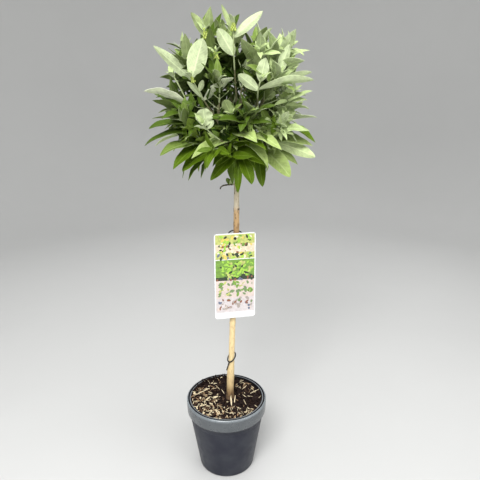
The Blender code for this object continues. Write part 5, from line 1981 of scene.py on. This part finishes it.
def lay_buds(settings):
    """Spikes of flower buds at some of the tips."""
    rng = random.Random(BUD_SEED)
    shape = ball_shape()
    heap = Heap()
    for name, number, scale in BUDDED:
        course = shoot_courses(name)[1][number][0]
        axis = course[2].normalized()
        ahead = axis.to_track_quat("Z", "Y")
        for place, size in bud_places(course[3] - axis * BUD_SET, axis, scale, rng):
            scattered(heap, shape, rng, place, (size, size, size * 1.3), ahead, 0, 0.1)
    bud = mottled_material("flower_bud", settings.bud, darker(settings.bud, 0.6), 300.0, 0.7, 0.7, "bud")
    new_piece("flower_buds", heap.mesh("flower_buds"), [bud])


class BUSH_OT_head(bpy.types.Operator):
    """Masses of shoots, sprigs and opposite leaves, grown by the rule of the plant's solids"""

    bl_idname = "bush.head"
    bl_label = "Leafy head"

    def execute(self, context):
        leaf_settings = context.scene.bush_leaf
        finishes = leaf_materials(leaf_settings), shoot_materials(context.scene.bush_stem)
        space = Space()
        standouts = place_standouts(space)
        grown = {}
        for name in SHOOTS:
            grown[name] = [(course, turn, habit, grow_leaves(name, course, turn, LEAF_NODES[habit], space))
                           for course, turn, habit in shoot_courses(name)[1]]
        room = Room(SPRIG_ROOM)
        main_leaves = [leaf for shoots in grown.values() for row in shoots for _, leaf in row[3]]
        for leaf in main_leaves + [leaf for rows in standouts.values() for leaf, _ in rows]:
            room.take(midrib(leaf))
        rng = random.Random(SPRIG_SEED)
        shapes = [blade_shape(kind) for kind in BLADES]
        for name, shoots in grown.items():
            lay_mass(name, shoots, standouts[name], shapes, finishes, space, room, rng)
        lay_buds(leaf_settings)
        return {"FINISHED"}


def lay_young_leaves(context, foot, heading):
    """Two leaves near the twig's foot: one upright, one aside and smaller."""
    length = TWIG_LEAF_LENGTH
    front = Vector(TWIG_LEAF_FRONT)
    lean = (heading * 0.5 + UP).normalized()
    aside = (lean * 0.5 + Vector(TWIG_LEAF_ASIDE)).normalized()
    large = (foot, lean, across(lean, front), length, length * 0.65, 0.5)
    small = (foot, aside, across(aside, front), length * 0.7, length * 0.4, 0.4)
    rows = [(large, TONES.index("fresh")), (small, TONES.index("young"))]
    heap = Heap()
    lay_leaves(heap, blade_shape("broad"), rows, random.Random(TWIG_LEAF_SEED))
    finishes = leaf_materials(context.scene.bush_leaf)
    new_piece("side_twig_leaf", heap.mesh("side_twig_leaf", 60.0), finishes)


class BUSH_OT_side_twig(bpy.types.Operator):
    """Dead side twig on the stem with two young leaves"""

    bl_idname = "bush.side_twig"
    bl_label = "Side twig"

    def execute(self, context):
        settings = context.scene.bush_stem
        _, end, heading = collar_end(TWIG_HEIGHT, TWIG_AZIMUTH, 0.0)
        points, radii = [], []
        for i in range(TWIG_RINGS):
            part = i / (TWIG_RINGS - 1.0)
            sideways = noise.noise(Vector((part * 3.0, 2.0, 0.0)))
            upward = noise.noise(Vector((part * 4.0, 9.0, 0.0)))
            wander = Vector((0.0, sideways, upward)) * TWIG_WANDER * part
            bend = max(0.0, part - TWIG_BENDS_FROM) / (1.0 - TWIG_BENDS_FROM)
            drop = TWIG_DROP * part * part + TWIG_HOOK * bend * bend
            along = TWIG_LENGTH * part * (1.0 - 0.06 * bend)
            points.append(end + heading * (GAP + along) - UP * drop + wander)
            thick = TWIG_RADIUS * TWIG_BARK * (1.0 - TWIG_TAPER * part)
            radii.append(thick * (1.0 + TWIG_LUMPS * math.sin(i * 2.4)))
        dead = darker(settings.wood, 0.45)
        bark = mottled_material("dead_bark", dead, settings.scar, 260.0, 0.8, 0.9, "twig")
        mesh = finished(limb(points, radii, 9), "side_twig_wood")
        new_piece("side_twig_wood", mesh, [bark], ["side_twig"])
        lay_young_leaves(context, points[2], heading)
        return {"FINISHED"}


# Label


def card_axes():
    """Sideways and forward unit vectors of the label, and the stem's centre behind its hole."""
    turn = math.radians(CARD_TURN)
    sideways = Vector((math.cos(turn), math.sin(turn), 0.0))
    forward = Vector((math.sin(turn), -math.cos(turn), 0.0))
    height = CARD_TOP_HEIGHT - CARD_HOLE_DROP - SOIL_LEVEL - GAP
    centre, radius = stem_at(height)
    return sideways, forward, centre, radius


def card_hole():
    """Middle of the hole on the card's back."""
    sideways, forward, centre, radius = card_axes()
    return centre + forward * (radius + 2.0 * LOOP_THICKNESS + 2.0 * GAP) + sideways * LOOP_STUD_SIDE


def on_card(x, y, proud):
    """A place in front of the card: x from its middle, y down from its top edge."""
    sideways, forward, _, _ = card_axes()
    return card_hole() + sideways * x + UP * (CARD_HOLE_DROP - y) + forward * (CARD_THICKNESS + proud)


def label_material(settings, name):
    """Glossy print: one colour worked into a darker tone of itself."""
    value = getattr(settings, name)
    amount = PRINT_AMOUNTS.get(name, 0.4)
    return mottled_material("print_" + name, value, darker(value, 0.62), 170.0, amount, 0.3, "print")


def disc_shape():
    """A flat disc in two layers: places as (along, across, layer), and faces."""
    bm = bmesh.new()
    bmesh.ops.create_circle(bm, cap_ends=True, segments=11, radius=0.5)
    bmesh.ops.solidify(bm, geom=bm.faces[:], thickness=1.0)
    middle = sum(vert.co.z for vert in bm.verts) / len(bm.verts)
    bmesh.ops.translate(bm, vec=(0.5, 0.0, -middle), verts=bm.verts)
    return shape_arrays(bm)


def printed_sheet(names):
    """The card with round corners, cut along its border and its grounds, which each get their colour."""
    half = CARD_WIDTH * 0.5
    printed = half - CARD_BORDER
    bm = bmesh.new()
    corners = ((-half, -CARD_HEIGHT), (half, -CARD_HEIGHT), (half, 0.0), (-half, 0.0))
    bm.faces.new([bm.verts.new((x, y, 0.0)) for x, y in corners])
    bmesh.ops.bevel(bm, geom=bm.verts[:], offset=CARD_CORNER, segments=8, profile=0.5, affect="VERTICES",
                    material=-1)
    cuts = [((side, 0.0, 0.0), (1.0, 0.0, 0.0)) for side in (-printed, printed)]
    cuts += [((0.0, -top, 0.0), (0.0, 1.0, 0.0)) for top, _ in CARD_BANDS]
    for place, way in cuts:
        geometry = bm.verts[:] + bm.edges[:] + bm.faces[:]
        bmesh.ops.bisect_plane(bm, geom=geometry, dist=1e-6, plane_co=place, plane_no=way)
    for face in bm.faces:
        middle = face.calc_center_bounds()
        grounds = ["white"] + [ground for top, ground in CARD_BANDS if -middle.y > top]
        face.material_index = names.index(grounds[-1]) if abs(middle.x) < printed else 0
    bmesh.ops.solidify(bm, geom=bm.faces[:], thickness=CARD_THICKNESS)
    bmesh.ops.recalc_face_normals(bm, faces=bm.faces)
    for face in bm.faces:
        if face.normal.z < 0.5:
            face.material_index = 0
    front = max(vert.co.z for vert in bm.verts)
    for vert in bm.verts:
        vert.co = on_card(vert.co.x, -vert.co.y, vert.co.z - front)
    return bm


def lay_print(settings):
    """Simple leaf shapes and discs, strewn by ground, each a hair in front of the last."""
    rng = random.Random(PRINT_SEED)
    names = sorted({tone for row in CARD_SHAPES for tone in row[5]})
    shapes = {"leaf": (*blade_shape("small")[:2], LEAF_SHAPE_SLIM), "disc": (*disc_shape(), 1.0)}
    heap = Heap()
    laid = 0
    for kind, top, bottom, number, size, tones in CARD_SHAPES:
        reach = CARD_WIDTH * 0.5 - CARD_BORDER - size * 0.55
        for _ in range(number):
            x, y = rng.uniform(-reach, reach), rng.uniform(top, bottom)
            turn, scale = rng.uniform(0.0, math.tau), size * rng.uniform(0.6, 1.0)
            proud = PRINT_PROUD + laid * PRINT_STEP
            lay_motif(heap, shapes[kind], (x, y), turn, scale, proud, names.index(rng.choice(tones)))
            laid += 1
    finishes = [label_material(settings, name) for name in names]
    new_piece("label_print", heap.mesh("label_print", 60.0), finishes)


def lay_motif(heap, shape, place, turn, size, proud, tone):
    """One flat shape on the card, at an angle."""
    places, faces, slim = shape
    sideways, forward, _, _ = card_axes()
    heading = turned(sideways, UP, turn)
    side = heading.cross(forward) * slim
    origin = on_card(*place, proud)
    spots = [origin + (heading * (along - 0.5) + side * wide) * size + forward * layer * PRINT_PROUD
             for along, wide, layer in places]
    heap.lay(spots, faces, tone)


class BUSH_OT_label(bpy.types.Operator):
    """Hanging card printed with plain grounds and simple leaf shapes"""

    bl_idname = "bush.label"
    bl_label = "Label card"

    def execute(self, context):
        settings = context.scene.bush_label
        names = list(dict.fromkeys(["white"] + [ground for _, ground in CARD_BANDS]))
        card = scratch_object(printed_sheet(names), "label_sheet")
        for name in names:
            card.data.materials.append(label_material(settings, name))
        forward = card_axes()[1]
        hole = card_hole()
        punch = limb([hole - forward * 0.002, hole + forward * 0.004], [CARD_HOLE_RADIUS] * 2, 32)
        combined(card, scratch_object(punch, "punch"), "DIFFERENCE")
        new_piece("label_sheet", freed_mesh(card, 30.0), [], ["label_card"])
        lay_print(settings)
        return {"FINISHED"}


class BUSH_OT_label_strap(bpy.types.Operator):
    """Black strap round the stem with the stud that holds the card"""

    bl_idname = "bush.label_strap"
    bl_label = "Label strap"

    def execute(self, context):
        sideways, forward, centre, radius = card_axes()
        slope = math.radians(LOOP_SLOPE)
        climb = -forward * math.cos(slope) + UP * math.sin(slope)
        front = centre + forward * (radius + GAP + LOOP_THICKNESS)
        middle = front + climb * LOOP_RADIUS
        rings = []
        for i in range(LOOP_STEPS):
            turn = math.tau * i / LOOP_STEPS
            place = middle + turned(sideways, climb, turn) * LOOP_RADIUS
            axis = turned(climb, -sideways, turn)
            rings.append(ring_places(place, axis, LOOP_THICKNESS, 10, sideways.cross(climb)))
        strap = scratch_object(drawn(rings, closed=True), "label_strap")
        rise = 1.0 - math.sqrt(1.0 - (LOOP_STUD_SIDE / LOOP_RADIUS) ** 2)
        setback = LOOP_RADIUS * math.cos(slope) * rise
        card_back = front + forward * (LOOP_THICKNESS + GAP) + sideways * LOOP_STUD_SIDE
        card_front = card_back + forward * CARD_THICKNESS
        root = front + sideways * LOOP_STUD_SIDE - forward * setback
        root.z = card_back.z
        neck_end = card_front + forward * (GAP + LOOP_HEAD_THICKNESS * 0.5)
        combined(strap, scratch_object(limb([root, neck_end], [LOOP_STUD_RADIUS] * 2, 20), "neck"), "UNION")
        points, radii = [], []
        for lift, reach in LOOP_HEAD_PROFILE:
            points.append(card_front + forward * (GAP + LOOP_HEAD_THICKNESS * lift))
            radii.append(LOOP_HEAD_RADIUS * reach)
        combined(strap, scratch_object(limb(points, radii, 28), "head"), "UNION")
        black = black_material(context.scene.bush_label)
        new_piece("label_strap", freed_mesh(strap, 45.0), [black], ["label_loop"])
        return {"FINISHED"}


def tie_place(turn, height, proud):
    """A place on the stem's side, at an angle round it and a distance in front of its bark."""
    centre, radius = stem_at(height - SOIL_LEVEL - GAP)
    return centre + Vector((math.cos(turn), math.sin(turn), 0.0)) * (radius + proud)


def tie_height(turn):
    """Height of the tie, which is low at the front and high on the right."""
    return TIE_HEIGHT + TIE_FRONT_DROP * math.sin(turn) + TIE_RIGHT_RISE * math.cos(turn)


class BUSH_OT_stem_tie(bpy.types.Operator):
    """Soft black tie round the stem, low at the front, with one end hanging"""

    bl_idname = "bush.stem_tie"
    bl_label = "Stem tie"

    def execute(self, context):
        proud = TIE_CLEAR + TIE_THICKNESS
        rings = []
        for i in range(TIE_STEPS):
            turn = math.tau * i / TIE_STEPS
            place = tie_place(turn, tie_height(turn), proud)
            reach = stem_at(place.z - SOIL_LEVEL - GAP)[1] + proud
            climb = TIE_FRONT_DROP * math.cos(turn) - TIE_RIGHT_RISE * math.sin(turn)
            axis = Vector((-math.sin(turn) * reach, math.cos(turn) * reach, climb)).normalized()
            rings.append(ring_places(place, axis, TIE_THICKNESS, 10))
        tie = scratch_object(drawn(rings, closed=True), "stem_band")
        start, stop = math.radians(TIE_TAIL_FROM), math.radians(TIE_TAIL_TO)
        top = tie_height(start)
        parts = [i / (TIE_TAIL_RINGS - 1.0) for i in range(TIE_TAIL_RINGS)]
        points = [tie_place(between(start, stop, part), top - TIE_TAIL_DROP * part, proud) for part in parts]
        tail = limb(points, [TIE_THICKNESS * (0.95 - 0.15 * part) for part in parts], 10)
        combined(tie, scratch_object(tail, "tail"), "UNION")
        black = black_material(context.scene.bush_label)
        new_piece("stem_band", freed_mesh(tie, 45.0), [black], ["stem_tie"])
        return {"FINISHED"}


# Stage


def linked(name, data):
    """A new object in the scene."""
    item = bpy.data.objects.new(name, data)
    bpy.context.scene.collection.objects.link(item)
    return item


def soft_light(name, place, target, size, energy):
    """A square area light that faces a place."""
    light = bpy.data.lights.new(name, "AREA")
    light.size = size
    light.energy = energy
    item = linked(name, light)
    item.location = place
    item.rotation_euler = (Vector(target) - Vector(place)).to_track_quat("-Z", "Y").to_euler()


def light_world(scene, settings):
    """Even light from all round, and a plain backdrop where the camera looks past the floor."""
    world = bpy.data.worlds.new("studio")
    world.use_nodes = True
    tree = world.node_tree
    tree.nodes.clear()
    lit = wire(tree, "Background", {"Color": AMBIENT_TINT, "Strength": settings.ambient}).outputs[0]
    seen = wire(tree, "Background", {"Color": rgba(settings.sky), "Strength": 1.0}).outputs[0]
    by_camera = wire(tree, "LightPath").outputs["Is Camera Ray"]
    mix = wire(tree, "MixShader", {0: by_camera, 1: lit, 2: seen})
    wire(tree, "OutputWorld", {"Surface": mix.outputs[0]})
    scene.world = world


class BUSH_OT_stage(bpy.types.Operator):
    """Pale floor, soft lights and the camera"""

    bl_idname = "bush.stage"
    bl_label = "Stage"

    def execute(self, context):
        settings = context.scene.bush_stage
        profile = [(0.0, 0.0)] + arc((FLOOR_RADIUS, SWEEP_ROUND), SWEEP_ROUND, -90, 0, 16)
        profile += [(FLOOR_RADIUS + SWEEP_ROUND, SWEEP_HEIGHT)]
        bm = spun(profile, 64)
        bmesh.ops.reverse_faces(bm, faces=bm.faces)
        mesh = bpy.data.meshes.new("floor")
        bm.to_mesh(mesh)
        bm.free()
        mesh.shade_smooth()
        dark = darker(settings.floor, 0.94)
        mesh.materials.append(mottled_material("floor", settings.floor, dark, 1.2, 0.5, 0.75, "floor"))
        linked("floor", mesh)
        light_world(context.scene, settings)
        for name, (place, target, size, setting) in LIGHTS.items():
            soft_light(name, place, target, size, getattr(settings, setting))
        context.scene.view_settings.view_transform = "Standard"
        camera = bpy.data.cameras.new("camera")
        camera.lens = CAMERA_LENS
        camera.sensor_width = SENSOR_WIDTH
        item = linked("camera", camera)
        item.location = CAMERA_PLACE
        item.rotation_euler = (math.radians(90.0 - CAMERA_PITCH), 0.0, 0.0)
        context.scene.camera = item
        return {"FINISHED"}


PIECES = (
    BUSH_OT_pot,
    BUSH_OT_soil,
    BUSH_OT_stem,
    BUSH_OT_boughs,
    BUSH_OT_head,
    BUSH_OT_side_twig,
    BUSH_OT_label,
    BUSH_OT_label_strap,
    BUSH_OT_stem_tie,
    BUSH_OT_stage,
)


class VIEW3D_PT_bush(bpy.types.Panel):
    """Lists the plant's pieces and their settings."""

    bl_label = "Butterfly bush"
    bl_space_type = "VIEW_3D"
    bl_region_type = "UI"
    bl_category = "Bush"

    def draw(self, context):
        for piece in PIECES:
            self.layout.operator(piece.bl_idname)
        for name, kind in SETTINGS.items():
            box = self.layout.box()
            box.label(text=kind.__doc__)
            for key in kind.__annotations__:
                box.prop(getattr(context.scene, name), key)


def register():
    for kind in (*SETTINGS.values(), *PIECES, VIEW3D_PT_bush):
        bpy.utils.register_class(kind)
    for name, kind in SETTINGS.items():
        setattr(bpy.types.Scene, name, PointerProperty(type=kind))


def unregister():
    for name in SETTINGS:
        delattr(bpy.types.Scene, name)
    for kind in (VIEW3D_PT_bush, *reversed(PIECES), *SETTINGS.values()):
        bpy.utils.unregister_class(kind)


def main():
    register()
    for piece in PIECES:
        group, name = piece.bl_idname.split(".")
        getattr(getattr(bpy.ops, group), name)()


if __name__ == "__main__":
    main()
